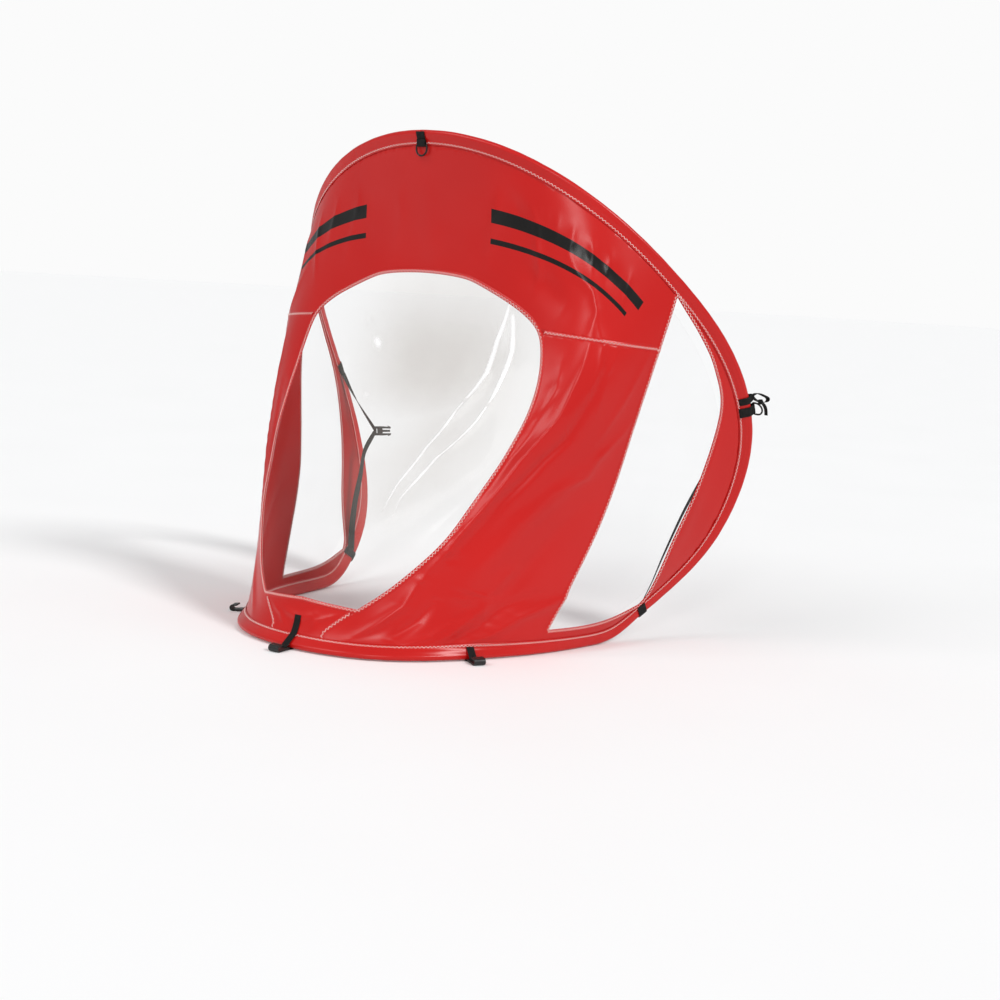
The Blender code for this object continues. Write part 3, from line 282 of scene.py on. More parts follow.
# Folds of the cloth: places on the disc, half width on the disc, height in metres, crispness
SOFT = 2.0
FIRM = 1.5
FULL = 1.4
TIGHT = 1.3
CRISP = 1.15
FOLD_END_SHARE = 0.04
FOLD_END_POWER = 0.6
FOLDS = (
    (((-0.62, 0.49), (-0.53, 0.483), (-0.45, 0.475), (-0.36, 0.478), (-0.27, 0.46), (-0.18, 0.45),
      (-0.04, 0.455), (0.08, 0.45), (0.28, 0.43), (0.47, 0.38)), 0.014, 0.0040, CRISP),
    (((-0.50, 0.50), (-0.36, 0.49), (-0.18, 0.46), (0.08, 0.46), (0.28, 0.43)), 0.034, 0.0030,
     SOFT),
    (((-0.48, 0.40), (-0.31, 0.41), (-0.20, 0.405), (-0.06, 0.42), (0.07, 0.417), (0.22, 0.40)),
     0.022, -0.0036, SOFT),
    (((-0.46, 0.575), (-0.36, 0.557), (-0.25, 0.55), (-0.165, 0.52), (-0.07, 0.505), (0.03, 0.485),
      (0.16, 0.475), (0.33, 0.445)), 0.022, -0.0044, SOFT),
    (((-0.31, 0.73), (-0.247, 0.717), (-0.20, 0.697), (-0.15, 0.677), (-0.087, 0.673),
      (-0.033, 0.625)), 0.013, 0.0028, CRISP),
    (((-0.16, 0.68), (-0.03, 0.625), (0.12, 0.575), (0.20, 0.56), (0.36, 0.517), (0.52, 0.49)),
     0.032, 0.0056, SOFT),
    (((0.02, 0.70), (0.16, 0.66), (0.36, 0.61), (0.50, 0.57), (0.62, 0.54)), 0.026, -0.0036, SOFT),
    (((0.32, 0.60), (0.363, 0.583), (0.45, 0.56), (0.487, 0.537)), 0.012, 0.0024, CRISP),
    (((0.47, 0.49), (0.487, 0.537), (0.613, 0.53), (0.723, 0.497)), 0.013, 0.0024, CRISP),
    (((0.79, 0.48), (0.70, 0.55), (0.563, 0.617), (0.433, 0.703), (0.35, 0.77)), 0.016, 0.0040,
     FIRM),
    (((0.82, 0.44), (0.68, 0.51), (0.54, 0.575), (0.42, 0.65)), 0.016, -0.0028, SOFT),
    (((0.85, 0.38), (0.74, 0.45), (0.63, 0.50), (0.50, 0.56)), 0.014, 0.0026, FIRM),
    (((0.46, 0.38), (0.62, 0.34), (0.76, 0.26), (0.88, 0.18)), 0.018, 0.0036, FIRM),
    (((0.56, 0.42), (0.70, 0.37), (0.84, 0.29)), 0.016, -0.0026, SOFT),
    (((0.66, 0.46), (0.78, 0.40), (0.88, 0.31)), 0.014, 0.0022, CRISP),
    (((-0.54, 0.60), (-0.46, 0.583), (-0.38, 0.60), (-0.30, 0.61)), 0.012, 0.0018, CRISP),
    (((-0.50, 0.71), (-0.447, 0.697), (-0.38, 0.683), (-0.30, 0.667), (-0.20, 0.65)), 0.013,
     0.0024, CRISP),
    (((-0.66, 0.50), (-0.62, 0.507), (-0.567, 0.537), (-0.50, 0.55), (-0.43, 0.545)), 0.012,
     0.0024, CRISP),
    (((-0.56, 0.40), (-0.47, 0.415), (-0.38, 0.40)), 0.013, 0.0020, CRISP),
    (((-0.96, 0.23), (-0.92, 0.222), (-0.89, 0.20), (-0.857, 0.18), (-0.815, 0.17)), 0.016,
     0.0026, FIRM),
    (((-0.94, 0.25), (-0.91, 0.258), (-0.885, 0.27), (-0.86, 0.265)), 0.016, -0.0024, SOFT),
    (((-0.945, 0.30), (-0.893, 0.305), (-0.86, 0.318), (-0.84, 0.32)), 0.010, 0.0020, CRISP),
    (((-0.935, 0.345), (-0.883, 0.338), (-0.85, 0.33)), 0.009, 0.0018, CRISP),
    (((-0.925, 0.385), (-0.883, 0.368), (-0.85, 0.345)), 0.010, 0.0020, CRISP),
    (((-0.91, 0.425), (-0.867, 0.398), (-0.83, 0.365)), 0.010, 0.0022, CRISP),
    (((-0.90, 0.455), (-0.85, 0.467), (-0.827, 0.43), (-0.79, 0.40)), 0.011, 0.0024, CRISP),
    (((-0.86, 0.50), (-0.823, 0.512), (-0.79, 0.55)), 0.011, 0.0020, CRISP),
    (((-0.84, 0.53), (-0.797, 0.49), (-0.74, 0.48)), 0.016, 0.0030, FIRM),
    (((-0.87, 0.317), (-0.827, 0.31), (-0.78, 0.31), (-0.75, 0.295)), 0.012, 0.0032, TIGHT),
    (((-0.80, 0.40), (-0.753, 0.427), (-0.707, 0.48), (-0.657, 0.497), (-0.61, 0.475)), 0.012,
     0.0030, CRISP),
    (((-0.80, 0.26), (-0.75, 0.33), (-0.69, 0.39)), 0.028, -0.0032, SOFT),
    (((-0.81, 0.595), (-0.76, 0.55), (-0.71, 0.52)), 0.013, 0.0024, CRISP),
    (((-0.75, 0.64), (-0.69, 0.60), (-0.64, 0.575)), 0.013, 0.0022, CRISP),
    (((-0.79, 0.44), (-0.74, 0.52), (-0.70, 0.58)), 0.022, -0.0024, SOFT),
    (((-0.95, 0.02), (-0.88, 0.01), (-0.82, 0.03)), 0.030, 0.0018, SOFT),
    (((-0.94, -0.08), (-0.88, -0.07), (-0.83, -0.09)), 0.018, 0.0018, FIRM),
    (((-0.72, 0.23), (-0.64, 0.21), (-0.54, 0.19), (-0.40, 0.145), (-0.16, 0.13), (0.08, 0.155)),
     0.016, 0.0022, CRISP),
    (((-0.67, 0.245), (-0.57, 0.243), (-0.36, 0.215), (-0.16, 0.18), (0.06, 0.185)), 0.016,
     0.0022, CRISP),
    (((-0.60, -0.50), (-0.46, -0.49), (-0.33, -0.50), (-0.10, -0.47), (0.14, -0.45),
      (0.40, -0.40)), 0.016, 0.0040, CRISP),
    (((-0.42, -0.63), (-0.18, -0.66), (0.05, -0.60), (0.22, -0.54), (0.44, -0.49)), 0.030,
     0.0050, SOFT),
    (((-0.40, -0.58), (-0.14, -0.56), (0.10, -0.52), (0.30, -0.46)), 0.024, -0.0040, SOFT),
    (((-0.40, -0.41), (-0.18, -0.41), (0.08, -0.41)), 0.022, -0.0030, SOFT),
    (((0.14, -0.66), (0.34, -0.59), (0.62, -0.50), (0.78, -0.44)), 0.018, 0.0036, FIRM),
    (((0.46, -0.40), (0.64, -0.34), (0.86, -0.24)), 0.018, 0.0032, FIRM),
    (((-0.74, -0.43), (-0.66, -0.49), (-0.56, -0.55), (-0.46, -0.58)), 0.014, 0.0028, CRISP),
    (((-0.94, -0.24), (-0.88, -0.22), (-0.80, -0.24)), 0.013, 0.0026, CRISP),
    (((-0.92, -0.34), (-0.86, -0.32), (-0.80, -0.33)), 0.012, 0.0024, CRISP),
    (((-0.88, -0.44), (-0.80, -0.40), (-0.73, -0.36)), 0.013, 0.0028, CRISP),
    (((-0.80, -0.55), (-0.74, -0.50), (-0.68, -0.49)), 0.013, 0.0024, CRISP),
    (((-0.70, -0.22), (-0.52, -0.18), (-0.34, -0.22)), 0.022, 0.0022, SOFT),
    (((-0.42, 0.905), (-0.25, 0.935), (-0.05, 0.938), (0.15, 0.925), (0.30, 0.91)), 0.012, 0.0030,
     FULL),
    (((-0.42, -0.905), (-0.25, -0.935), (-0.05, -0.938), (0.15, -0.925)), 0.012, 0.0028, FULL),
    (((0.76, 0.06), (0.80, 0.0), (0.76, -0.08)), 0.020, 0.0018, SOFT),
    (((0.74, 0.14), (0.80, 0.07), (0.87, 0.05)), 0.012, 0.0016, CRISP),
    (((0.74, -0.14), (0.80, -0.08), (0.87, -0.05)), 0.012, 0.0016, CRISP))
SWELL_LENGTH = 0.16
SWELL_HEIGHT = 0.0016
CRUMPLE_LENGTH = 0.05
CRUMPLE_HEIGHT = 0.0005
STILL_RIM_SHARE = 0.045
CALM_RIM_SHARE = 0.09

# Painted highlights in the main window's film: white streaks along creases, and glints, each a
# path, a half width and a strength, then the milky patch and a veil across it
FILM_CREASE_HIGHLIGHTS = (
    (((-0.735, 0.228), (-0.65, 0.203), (-0.567, 0.193), (-0.49, 0.168)), 0.0038, 0.8),
    (((-0.60, 0.198), (-0.447, 0.153), (-0.28, 0.133), (-0.067, 0.137), (0.103, 0.16)), 0.0028,
     0.4),
    (((-0.715, 0.236), (-0.617, 0.247), (-0.537, 0.237), (-0.47, 0.23)), 0.0038, 0.8),
    (((-0.58, 0.242), (-0.39, 0.22), (-0.22, 0.183), (0.017, 0.183), (0.12, 0.20)), 0.0028, 0.4))
FILM_GLINTS = (
    (((-0.34, 0.165), (-0.12, 0.155), (0.08, 0.17)), 0.034, 0.08),
    (((-0.70, 0.232), (-0.66, 0.224), (-0.61, 0.22)), 0.014, 0.16),
    (((-0.69, -0.137), (-0.67, -0.125)), 0.010, 0.14),
    (((-0.65, -0.105), (-0.62, -0.09)), 0.010, 0.30),
    (((-0.48, -0.095), (-0.46, -0.09)), 0.009, 0.16))
PATCH_PLACE = (-0.59, 0.085)
PATCH_REACH = 0.19
VEIL_PATH = ((-0.95, 0.13), (-0.30, 0.18), (0.30, 0.20))
VEIL_WIDTH = 0.19
VEIL_SHARE = 0.55
PAINTED_HIGHLIGHT_NAME = "crease"
HAZE_NAME = "haze"

# How all film whitens where it is seen edge on, as a painted reflection
EDGE_ON_POWER = 7.0
EDGE_ON_SHARE = 0.035

# Rows of points beside the painted crease highlights
LINE_STEP = 0.003
LINE_ROOM = 0.017
LINE_OFFSETS = (-0.0062, -0.0040, -0.0018, 0.0, 0.0018, 0.0040, 0.0062)

# Printed stripes beside the rim: distance from the disc's middle, half width, first and last
# turn from the top
PRINT_STRIPES = ((0.905, 0.0105, math.radians(12), math.radians(46)),
                 (0.866, 0.0045, math.radians(12), math.radians(44)))
PRINT_STEPS = 40

# The weave's scale, the part of a noise that most ramps span, and the step from a cloth face's
# material to the one of its inner side: a slot past the last one counts as the last
WEAVE_SCALE = 560
MIDDLE = (0.3, 0.7)
LINING_OFFSET = 2


# The hood surface

def harmonic_series():
    """Terms of the smooth sheet that spans the rim: a cosine series in X and Z, sine in Y."""
    steps = len(RIM_SHARES) - 1
    terms = []
    for order in range(steps + 1):
        half = 0.5 if order in (0, steps) else 1.0
        x = y = z = 0.0
        for index, share in enumerate(RIM_SHARES):
            angle = math.pi * order * index / steps
            weight = 0.5 if index in (0, steps) else 1.0
            x += share[0] * weight * math.cos(angle)
            y += share[1] * math.sin(angle)
            z += share[2] * weight * math.cos(angle)
        scale = 2.0 * half / steps
        wide = 0.0 if order in (0, steps) else 2.0 / steps
        terms.append((x * scale * HOOD_LENGTH, y * wide * HOOD_HALF_WIDTH,
                      z * scale * HOOD_HEIGHT))
    return terms


SERIES = harmonic_series()


def hood_points(places):
    """Points of the smooth cloth for places on the unit disc."""
    xi, eta = np.asarray(places, float).reshape(-1, 2).T
    turn = xi + 1j * eta
    power = np.ones_like(turn)
    total = np.zeros((len(xi), 3))
    for a, b, c in SERIES:
        total += np.stack((power.real * a, power.imag * b, power.real * c), axis=1)
        power = power * turn
    one = np.ones_like(xi)
    basis = (one, xi, xi * xi, xi ** 3, eta * eta, xi * eta * eta, xi * xi * eta * eta, eta ** 4)
    wide = (one, xi, xi * xi, eta * eta, xi * eta * eta)
    puff = 1 - xi * xi - eta * eta
    for axis, size, shares, terms in (
            (0, HOOD_LENGTH, PUFF_LENGTH_SHARES, basis),
            (1, HOOD_HALF_WIDTH * eta, PUFF_WIDTH_SHARES, wide),
            (2, HOOD_HEIGHT, PUFF_HEIGHT_SHARES, basis)):
        total[:, axis] += puff * size * sum(s * t for s, t in zip(shares, terms))
    return total + (FORE_AFT_SHIFT, 0, REST_HEIGHT)


def unit(rows):
    return rows / np.maximum(np.linalg.norm(rows, axis=1, keepdims=True), TINY)


def smooth_normals(places):
    places = np.asarray(places, float).reshape(-1, 2)
    forward = hood_points(places + (NUDGE_SHARE, 0)) - hood_points(places - (NUDGE_SHARE, 0))
    left = hood_points(places + (0, NUDGE_SHARE)) - hood_points(places - (0, NUDGE_SHARE))
    return unit(np.cross(forward, left))


def eased(value, start, end):
    """Smooth step from 0 at the start to 1 at the end."""
    part = np.clip((value - start) / (end - start), 0, 1)
    return part * part * (3 - 2 * part)


def path_gap(places, path):
    """Distance of places from a path, and how far along it they are."""
    nearest = np.full(len(places), np.inf)
    reach = np.zeros(len(places))
    stops = np.array(path, float)
    lengths = np.linalg.norm(np.diff(stops, axis=0), axis=1)
    total = lengths.sum()
    done = 0.0
    for start, end, length in zip(stops, stops[1:], lengths):
        side = end - start
        along = np.clip((places - start) @ side / length ** 2, 0, 1)
        gap = np.linalg.norm(places - start - along[:, None] * side, axis=1)
        closer = gap < nearest
        nearest = np.where(closer, gap, nearest)
        reach = np.where(closer, (done + along * length) / total, reach)
        done += length
    return nearest, reach


def ridge(places, path, width, power):
    """Share of a ridge's height at places: full on its path, none beside it and at its ends."""
    nearest, reach = path_gap(places, path)
    inner = np.clip(reach, FOLD_END_SHARE, 1 - FOLD_END_SHARE)
    fade = np.sin(inner * math.pi) ** FOLD_END_POWER
    return fade * np.exp(-(nearest / width) ** power)


def relief(places):
    """Height of the folds and swells of the cloth, along its normal."""
    places = np.asarray(places, float).reshape(-1, 2)
    total = np.zeros(len(places))
    for path, width, height, power in FOLDS:
        total += height * ridge(places, path, width, power)
    spots = hood_points(places)
    for length, height in ((SWELL_LENGTH, SWELL_HEIGHT), (CRUMPLE_LENGTH, CRUMPLE_HEIGHT)):
        total += height * np.array([
            noise.noise(Vector(spot) / length, noise_basis="PERLIN_NEW") for spot in spots])
    return total * eased(1 - np.linalg.norm(places, axis=1), STILL_RIM_SHARE, CALM_RIM_SHARE)


def film_highlights_and_haze(places):
    """Painted highlights along the creases and at the glints, and milky haze of the main window,
    as shares.
    """
    crease = np.zeros(len(places))
    for path, width, strength in FILM_CREASE_HIGHLIGHTS + FILM_GLINTS:
        crease = np.maximum(crease, strength * ridge(places, path, width, FIRM))
    gap = np.linalg.norm(places - PATCH_PLACE, axis=1)
    patch = np.exp(-(gap / PATCH_REACH) ** 2)
    veil = VEIL_SHARE * ridge(places, VEIL_PATH, VEIL_WIDTH, SOFT)
    return {PAINTED_HIGHLIGHT_NAME: crease, HAZE_NAME: np.maximum(patch, veil)}


def surface(places, lift=0.0):
    """Points of the folded cloth, lifted along its smooth normal."""
    rise = relief(places) + lift
    return hood_points(places) + smooth_normals(places) * rise[:, None]


def hood(xi, eta):
    return Vector(hood_points([(xi, eta)])[0])


def rim(share):
    """Centre of the hoop rod: flat on its tabs ahead, down on the deck itself further aft."""
    angle = math.pi * share
    point = hood(math.cos(angle), math.sin(angle))
    raised = eased(share, FLAT_RIM_SHARE, RAISED_RIM_SHARE)
    dip = eased(share, BASE_TAB_SHARE, FLAT_RIM_SHARE) * (REST_HEIGHT - CAD_BEAD_RADIUS)
    point.z = REST_HEIGHT - dip * (1 - raised) + (point.z - REST_HEIGHT) * raised
    return point


class Station:
    """A cross section of the rim: centre, direction along it, way into the cloth, outward."""

    def __init__(self, share):
        self.share = share
        self.centre = rim(share)
        self.along = (rim(share + NUDGE_SHARE) - rim(share - NUDGE_SHARE)).normalized()
        turn = math.pi * share
        depth = FLANGE_DEPTH_GUESS
        for _ in range(FLANGE_DEPTH_ROUNDS):
            spot = hood((1 - depth) * math.cos(turn), (1 - depth) * math.sin(turn))
            gap = spot - self.centre
            depth *= FLANGE_REACH / gap.length
            turn -= gap.dot(self.along) / (HOOD_LENGTH + HOOD_HALF_WIDTH)
        self.disc = ((1 - depth) * math.cos(turn), (1 - depth) * math.sin(turn))
        tuck = 1 - depth * RIM_TUCK_SHARE
        self.tucked = (tuck * math.cos(turn), tuck * math.sin(turn))
        self.tip = hood(*self.disc)
        inward = self.tip - self.centre
        inward -= self.along * inward.dot(self.along)
        self.inward = inward.normalized()
        self.outward = self.along.cross(self.inward).normalized()
        self.reach = (self.tip - self.centre).length

    def place(self, a, b, t=0.0):
        """World point from inward, outward and along measures."""
        return self.centre + self.inward * a + self.outward * b + self.along * t

    def flat(self, point):
        gap = point - self.centre
        return Vector((gap.dot(self.inward), gap.dot(self.outward)))


def rim_stations():
    keys = (0.0, FRONT_SEAM_SHARE, BASE_TAB_SHARE, LOWER_TAB_SHARE, SIDE_TAB_SHARE,
            WINDOW_PEAK_SHARE, 1.0)
    shares = [0.0]
    for start, end in zip(keys, keys[1:]):
        count = math.ceil((end - start) / RIM_STEP_SHARE)
        shares += [start + (end - start) * step / count for step in range(1, count + 1)]
    return [Station(share) for share in shares]


STATIONS = rim_stations()
STATION_SHARES = [station.share for station in STATIONS]


def station_index(share):
    return bisect_left(STATION_SHARES, share - NUDGE_SHARE)


# Materials

class Recipe:
    """A node material in the making."""

    def __init__(self, name, base, roughness, **sockets):
        self.material = bpy.data.materials.new(name)
        self.material.use_nodes = True
        self.tree = self.material.node_tree
        self.shader = self.tree.nodes["Principled BSDF"]
        self.shader.inputs["Base Color"].default_value = (*base, 1)
        self.shader.inputs["Roughness"].default_value = roughness
        for key, value in sockets.items():
            self.shader.inputs[key.replace("_", " ")].default_value = value
        self.coordinates = self.tree.nodes.new("ShaderNodeTexCoord")

    def node(self, kind, inputs=(), **settings):
        made = self.tree.nodes.new(kind)
        for key, value in settings.items():
            setattr(made, key, value)
        for key, value in dict(inputs).items():
            if isinstance(value, bpy.types.NodeSocket):
                self.tree.links.new(value, made.inputs[key])
            else:
                made.inputs[key].default_value = value
        return made

    def space(self, source, scale=(1, 1, 1), turn=0.0):
        mapping = self.node("ShaderNodeMapping", {"Vector": self.coordinates.outputs[source]})
        mapping.inputs["Scale"].default_value = scale
        mapping.inputs["Rotation"].default_value = (0, 0, turn)
        return mapping.outputs["Vector"]

    def noise(self, scale, detail, stretch=(1, 1, 1), roughness=0.5):
        found = self.node("ShaderNodeTexNoise", {
            "Vector": self.space("Object", scale=stretch), "Scale": scale, "Detail": detail,
            "Roughness": roughness})
        return found.outputs["Fac"]

    def wave(self, scale, turn=0.0):
        found = self.node("ShaderNodeTexWave", {
            "Vector": self.space("UV", turn=turn), "Scale": scale, "Distortion": 0.0,
            "Detail": 1.0}, wave_type="BANDS", bands_direction="X")
        return found.outputs["Fac"]

    def ramp(self, value, low, high, start=0.0, end=1.0):
        ramp = self.node("ShaderNodeMapRange", {
            "Value": value, "From Min": start, "From Max": end, "To Min": low, "To Max": high})
        return ramp.outputs["Result"]

    def colours(self, value, stops):
        ramp = self.node("ShaderNodeValToRGB", {"Fac": value})
        elements = ramp.color_ramp.elements
        while len(elements) < len(stops):
            elements.new(0.5)
        for element, (place, colour) in zip(elements, stops):
            element.position = place
            element.color = (*colour, 1)
        return ramp.outputs["Color"]

    def attribute(self, name):
        return self.node("ShaderNodeAttribute", attribute_name=name).outputs["Fac"]

    def join(self, first, second, operation="ADD"):
        """Two values added, or joined as the operation says."""
        made = self.node("ShaderNodeMath", operation=operation)
        for socket, value in zip(made.inputs, (first, second)):
            if isinstance(value, bpy.types.NodeSocket):
                self.tree.links.new(value, socket)
            else:
                socket.default_value = value
        return made.outputs["Value"]

    def times(self, first, second):
        return self.join(first, second, "MULTIPLY")

    def feed(self, socket, value):
        self.tree.links.new(value, self.shader.inputs[socket])

    def finish(self, colour, roughness, *bumps):
        """Material with this colour and roughness, and bumps: each a height and its metres."""
        self.feed("Base Color", colour)
        self.feed("Roughness", roughness)
        last = None
        for height, distance in bumps:
            inputs = {"Height": height, "Distance": distance, "Strength": 1.0}
            if last:
                inputs["Normal"] = last
            last = self.node("ShaderNodeBump", inputs).outputs["Normal"]
        self.feed("Normal", last)
        return self.material


def cloth_material(name, dark, light, roughness, specular):
    """Coated nylon: fine plain weave under a coat, faint crinkles, slightly uneven dye."""
    made = Recipe(name, light, roughness, Specular_IOR_Level=specular)
    weave = made.times(made.wave(WEAVE_SCALE), made.wave(WEAVE_SCALE, turn=math.pi / 2))
    tone = made.join(made.ramp(made.noise(6, 1), 0.0, 0.7), made.times(weave, 0.3))
    crinkle = made.noise(14, 1, stretch=(1, 1, 0.4))
    return made.finish(made.colours(tone, ((0.0, dark), (1.0, light))),
                       made.ramp(weave, roughness - 0.03, roughness + 0.06), (crinkle, 0.0010))


def film_material(name, clear, haze_gain, highlight_gain, tint):
    """Clear window film: nearly clear face on, whiter edge on as a painted reflection, milky in a
    patch, with painted white highlights where creased and at glints.
    """
    made = Recipe(name, tint, 0.1, Specular_IOR_Level=0.5)
    spots = made.ramp(made.noise(45, 2), 0.7, 1.0, 0.38, 0.6)
    # Painted highlight: white and more opaque film along the creases and at the glints
    crease = made.times(made.attribute(PAINTED_HIGHLIGHT_NAME), spots)
    cloud = made.ramp(made.noise(5, 2), 0.8, 1.1, 0.35, 0.65)
    haze = made.times(made.times(made.attribute(HAZE_NAME), cloud), haze_gain)
    # Painted reflection: more opaque, and so whiter, film where it is seen edge on
    facing = made.node("ShaderNodeLayerWeight", {"Blend": 0.5}).outputs["Facing"]
    edge_on = made.times(made.join(facing, EDGE_ON_POWER, "POWER"), EDGE_ON_SHARE)
    faint = made.join(made.ramp(made.noise(9, 2), clear * 0.5, clear * 1.5, *MIDDLE), edge_on)
    alpha = made.join(made.join(haze, faint), made.times(crease, highlight_gain))
    made.feed("Alpha", made.node("ShaderNodeClamp", {"Value": alpha}).outputs["Result"])
    ripple = made.noise(7, 2, stretch=(1, 1.6, 0.5))
    return made.finish(made.colours(crease, ((0.02, tint), (0.20, (1.0, 1.0, 1.0)))),
                       made.ramp(made.noise(30, 2), 0.05, 0.16), (ripple, 0.003))


def webbing_material(name):
    """Black polypropylene webbing: cross ribs, a herringbone of yarns and a little fuzz."""
    made = Recipe(name, (0.012, 0.012, 0.011), 0.72, Specular_IOR_Level=0.2)
    ribs = made.wave(260)
    yarns = made.wave(420, turn=math.radians(58))
    stops = ((0.05, (0.005, 0.005, 0.005)), (0.45, (0.012, 0.012, 0.011)),
             (0.8, (0.030, 0.029, 0.027)))
    return made.finish(made.colours(made.times(ribs, made.noise(300, 3)), stops),
                       made.ramp(made.noise(220, 3), 0.6, 0.85, *MIDDLE),
                       (ribs, 0.00025), (yarns, 0.00012), (made.noise(900, 2), 0.0001))


def plastic_material(name):
    """Moulded black plastic: fine grain, a flow mark or two, edges rubbed lighter."""
    made = Recipe(name, (0.010, 0.010, 0.010), 0.38, Specular_IOR_Level=0.4)
    pointed = made.node("ShaderNodeNewGeometry").outputs["Pointiness"]
    rubbed = made.times(made.ramp(pointed, 0.0, 1.0, 0.5, 0.62), made.noise(140, 4))
    stops = ((0.0, (0.008, 0.008, 0.008)), (0.3, (0.012, 0.012, 0.012)),
             (0.7, (0.05, 0.05, 0.048)))
    return made.finish(made.colours(rubbed, stops),
                       made.ramp(made.noise(180, 4), 0.3, 0.5, *MIDDLE),
                       (made.noise(1400, 2), 0.00005), (made.noise(60, 2), 0.0002))


def grained_material(name, base, roughness, grain, stops, ends, bump, fine=None, **sockets):
    """One grain in colour and roughness, with a bump of that grain or of a finer one."""
    made = Recipe(name, base, roughness, **sockets)
    spots = made.noise(**grain)
    height = made.noise(*fine) if fine else spots
    return made.finish(made.colours(spots, stops), made.ramp(spots, *ends), (height, bump))


def floor_material(name):
    made = Recipe(name, (0.93, 0.93, 0.93), 0.7, Specular_IOR_Level=0.1)
    made.feed("Roughness", made.ramp(made.noise(3, 2), 0.55, 0.65, *MIDDLE))
    return made.material


RED = cloth_material("red_coated_cloth", (0.42, 0.005, 0.004), (0.57, 0.0095, 0.007), 0.29, 0.30)
CLEAR = film_material("clear_main_film", 0.012, 0.40, 0.9, (0.52, 0.475, 0.435))
CLEAR_SIDE = film_material("clear_side_film", 0.03, 0.1, 0.0, (0.62, 0.62, 0.65))
WEBBING = webbing_material("black_woven_webbing")
PLASTIC = plastic_material("black_moulded_plastic")
# Coated steel rubbed bare in spots, pale resin with streaks, tarnished brass, and a thread lighter
# in spots: painted highlights where its twist catches the light
WIRE = grained_material(
    "black_coated_wire", (0.03, 0.03, 0.03), 0.32, {"scale": 240, "detail": 5, "roughness": 0.65},
    ((0.4, (0.02, 0.02, 0.02)), (0.62, (0.045, 0.045, 0.045)), (0.74, (0.22, 0.21, 0.2))),
    (0.42, 0.24, 0.4, 0.7), 0.00008, (500, 3), Metallic=0.85)
ROD = grained_material(
    "glass_fibre_rod", (0.75, 0.73, 0.66), 0.35,
    {"scale": 900, "detail": 3, "stretch": (0.2, 0.2, 0.2)},
    ((0.3, (0.6, 0.57, 0.48)), (0.6, (0.8, 0.78, 0.7))), (0.3, 0.45, *MIDDLE), 0.00005)
BRASS = grained_material(
    "drawn_brass", (0.72, 0.55, 0.25), 0.3, {"scale": 90, "detail": 4},
    ((0.35, (0.5, 0.36, 0.16)), (0.6, (0.74, 0.57, 0.27))), (0.42, 0.22, *MIDDLE), 0.00003,
    (1200, 2), Metallic=1.0)
THREAD = grained_material(
    "pale_thread", (0.9, 0.7, 0.67), 0.6, {"scale": 700, "detail": 2},
    ((0.35, (0.72, 0.42, 0.39)), (0.6, (0.92, 0.72, 0.69))), (0.5, 0.7, *MIDDLE), 0.0001)
INK = cloth_material("black_print", (0.003, 0.0025, 0.0025), (0.009, 0.007, 0.006), 0.28, 0.28)
# The uncoated inside: rougher and less glossy, and darker red as painted shade
LINING_PAINTED_SHADE = cloth_material("red_uncoated_inside_painted_shade", (0.34, 0.005, 0.004), (0.47, 0.0085, 0.0065),
                        0.60, 0.12)
FLOOR = floor_material("studio_floor")


# Mesh helpers

def add_object(name, data):
    item = bpy.data.objects.new(name, data)
    bpy.context.scene.collection.objects.link(item)
    return item


@contextmanager
def edited(mesh):
    """The mesh opened for edits, which are written back at the end."""
    work = bmesh.new()
    work.from_mesh(mesh)
    yield work
    work.to_mesh(mesh)
    work.free()


def shade_smooth(mesh):
    mesh.polygons.foreach_set("use_smooth", [True] * len(mesh.polygons))


def add_mesh(name, points, faces, materials, uvs, slots=None):
    mesh = bpy.data.meshes.new(name)
    mesh.from_pydata([tuple(point) for point in points], [], [tuple(face) for face in faces])
    for material in materials:
        mesh.materials.append(material)
    if slots is not None:
        mesh.polygons.foreach_set("material_index", slots)
    layer = mesh.uv_layers.new(name="UVMap")
    flat = [value for loop in mesh.loops for value in uvs[loop.vertex_index]]
    layer.data.foreach_set("uv", flat)
    shade_smooth(mesh)
    mesh.update()
    return add_object(name, mesh)


def thicken(item, thickness):
    """Solidify evenly to both sides."""
    shell = item.modifiers.new("thickness", "SOLIDIFY")
    shell.thickness = thickness
    shell.offset = 0.0
    shell.use_even_offset = True
    return shell


def skin_mesh(name, rows, material, uvs, closed_rows=True, closed_run=False):
    """Mesh over rings or open rows joined one to the next, its faces turned outward."""
    count = len(rows[0])
    faces = []
    for index in range(len(rows) if closed_run else len(rows) - 1):
        start = index * count
        following = (index + 1) % len(rows) * count
        for step in range(count if closed_rows else count - 1):
            after = (step + 1) % count
            faces.append((start + step, start + after, following + after, following + step))
    if closed_rows:
        last = (len(rows) - 1) * count
        faces += [tuple(range(count))[::-1], tuple(range(last, last + count))]
    item = add_mesh(name, [point for row in rows for point in row], faces, [material], uvs)
    with edited(item.data) as work:
        bmesh.ops.recalc_face_normals(work, faces=work.faces)
    return item


def curve_object(name, runs, material, smooth=True, **settings):
    """Curve along runs of points, each of them closed or open."""
    curve = bpy.data.curves.new(name, "CURVE")
    for key, value in settings.items():
        setattr(curve, key, value)
    for points, closed in runs:
        spline = curve.splines.new("POLY")
        spline.points.add(len(points) - 1)
        places = np.zeros((len(points), 4))
        places[:, :len(points[0])] = points
        places[:, 3] = 1
        spline.points.foreach_set("co", places.ravel())
        spline.use_cyclic_u = closed
        spline.use_smooth = smooth
    curve.materials.append(material)
    return add_object(name, curve)


def dress(item, body="hood", stands_for=()):
    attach(item, body)
    if stands_for:
        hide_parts(*stands_for)
    return item


# Outline helpers

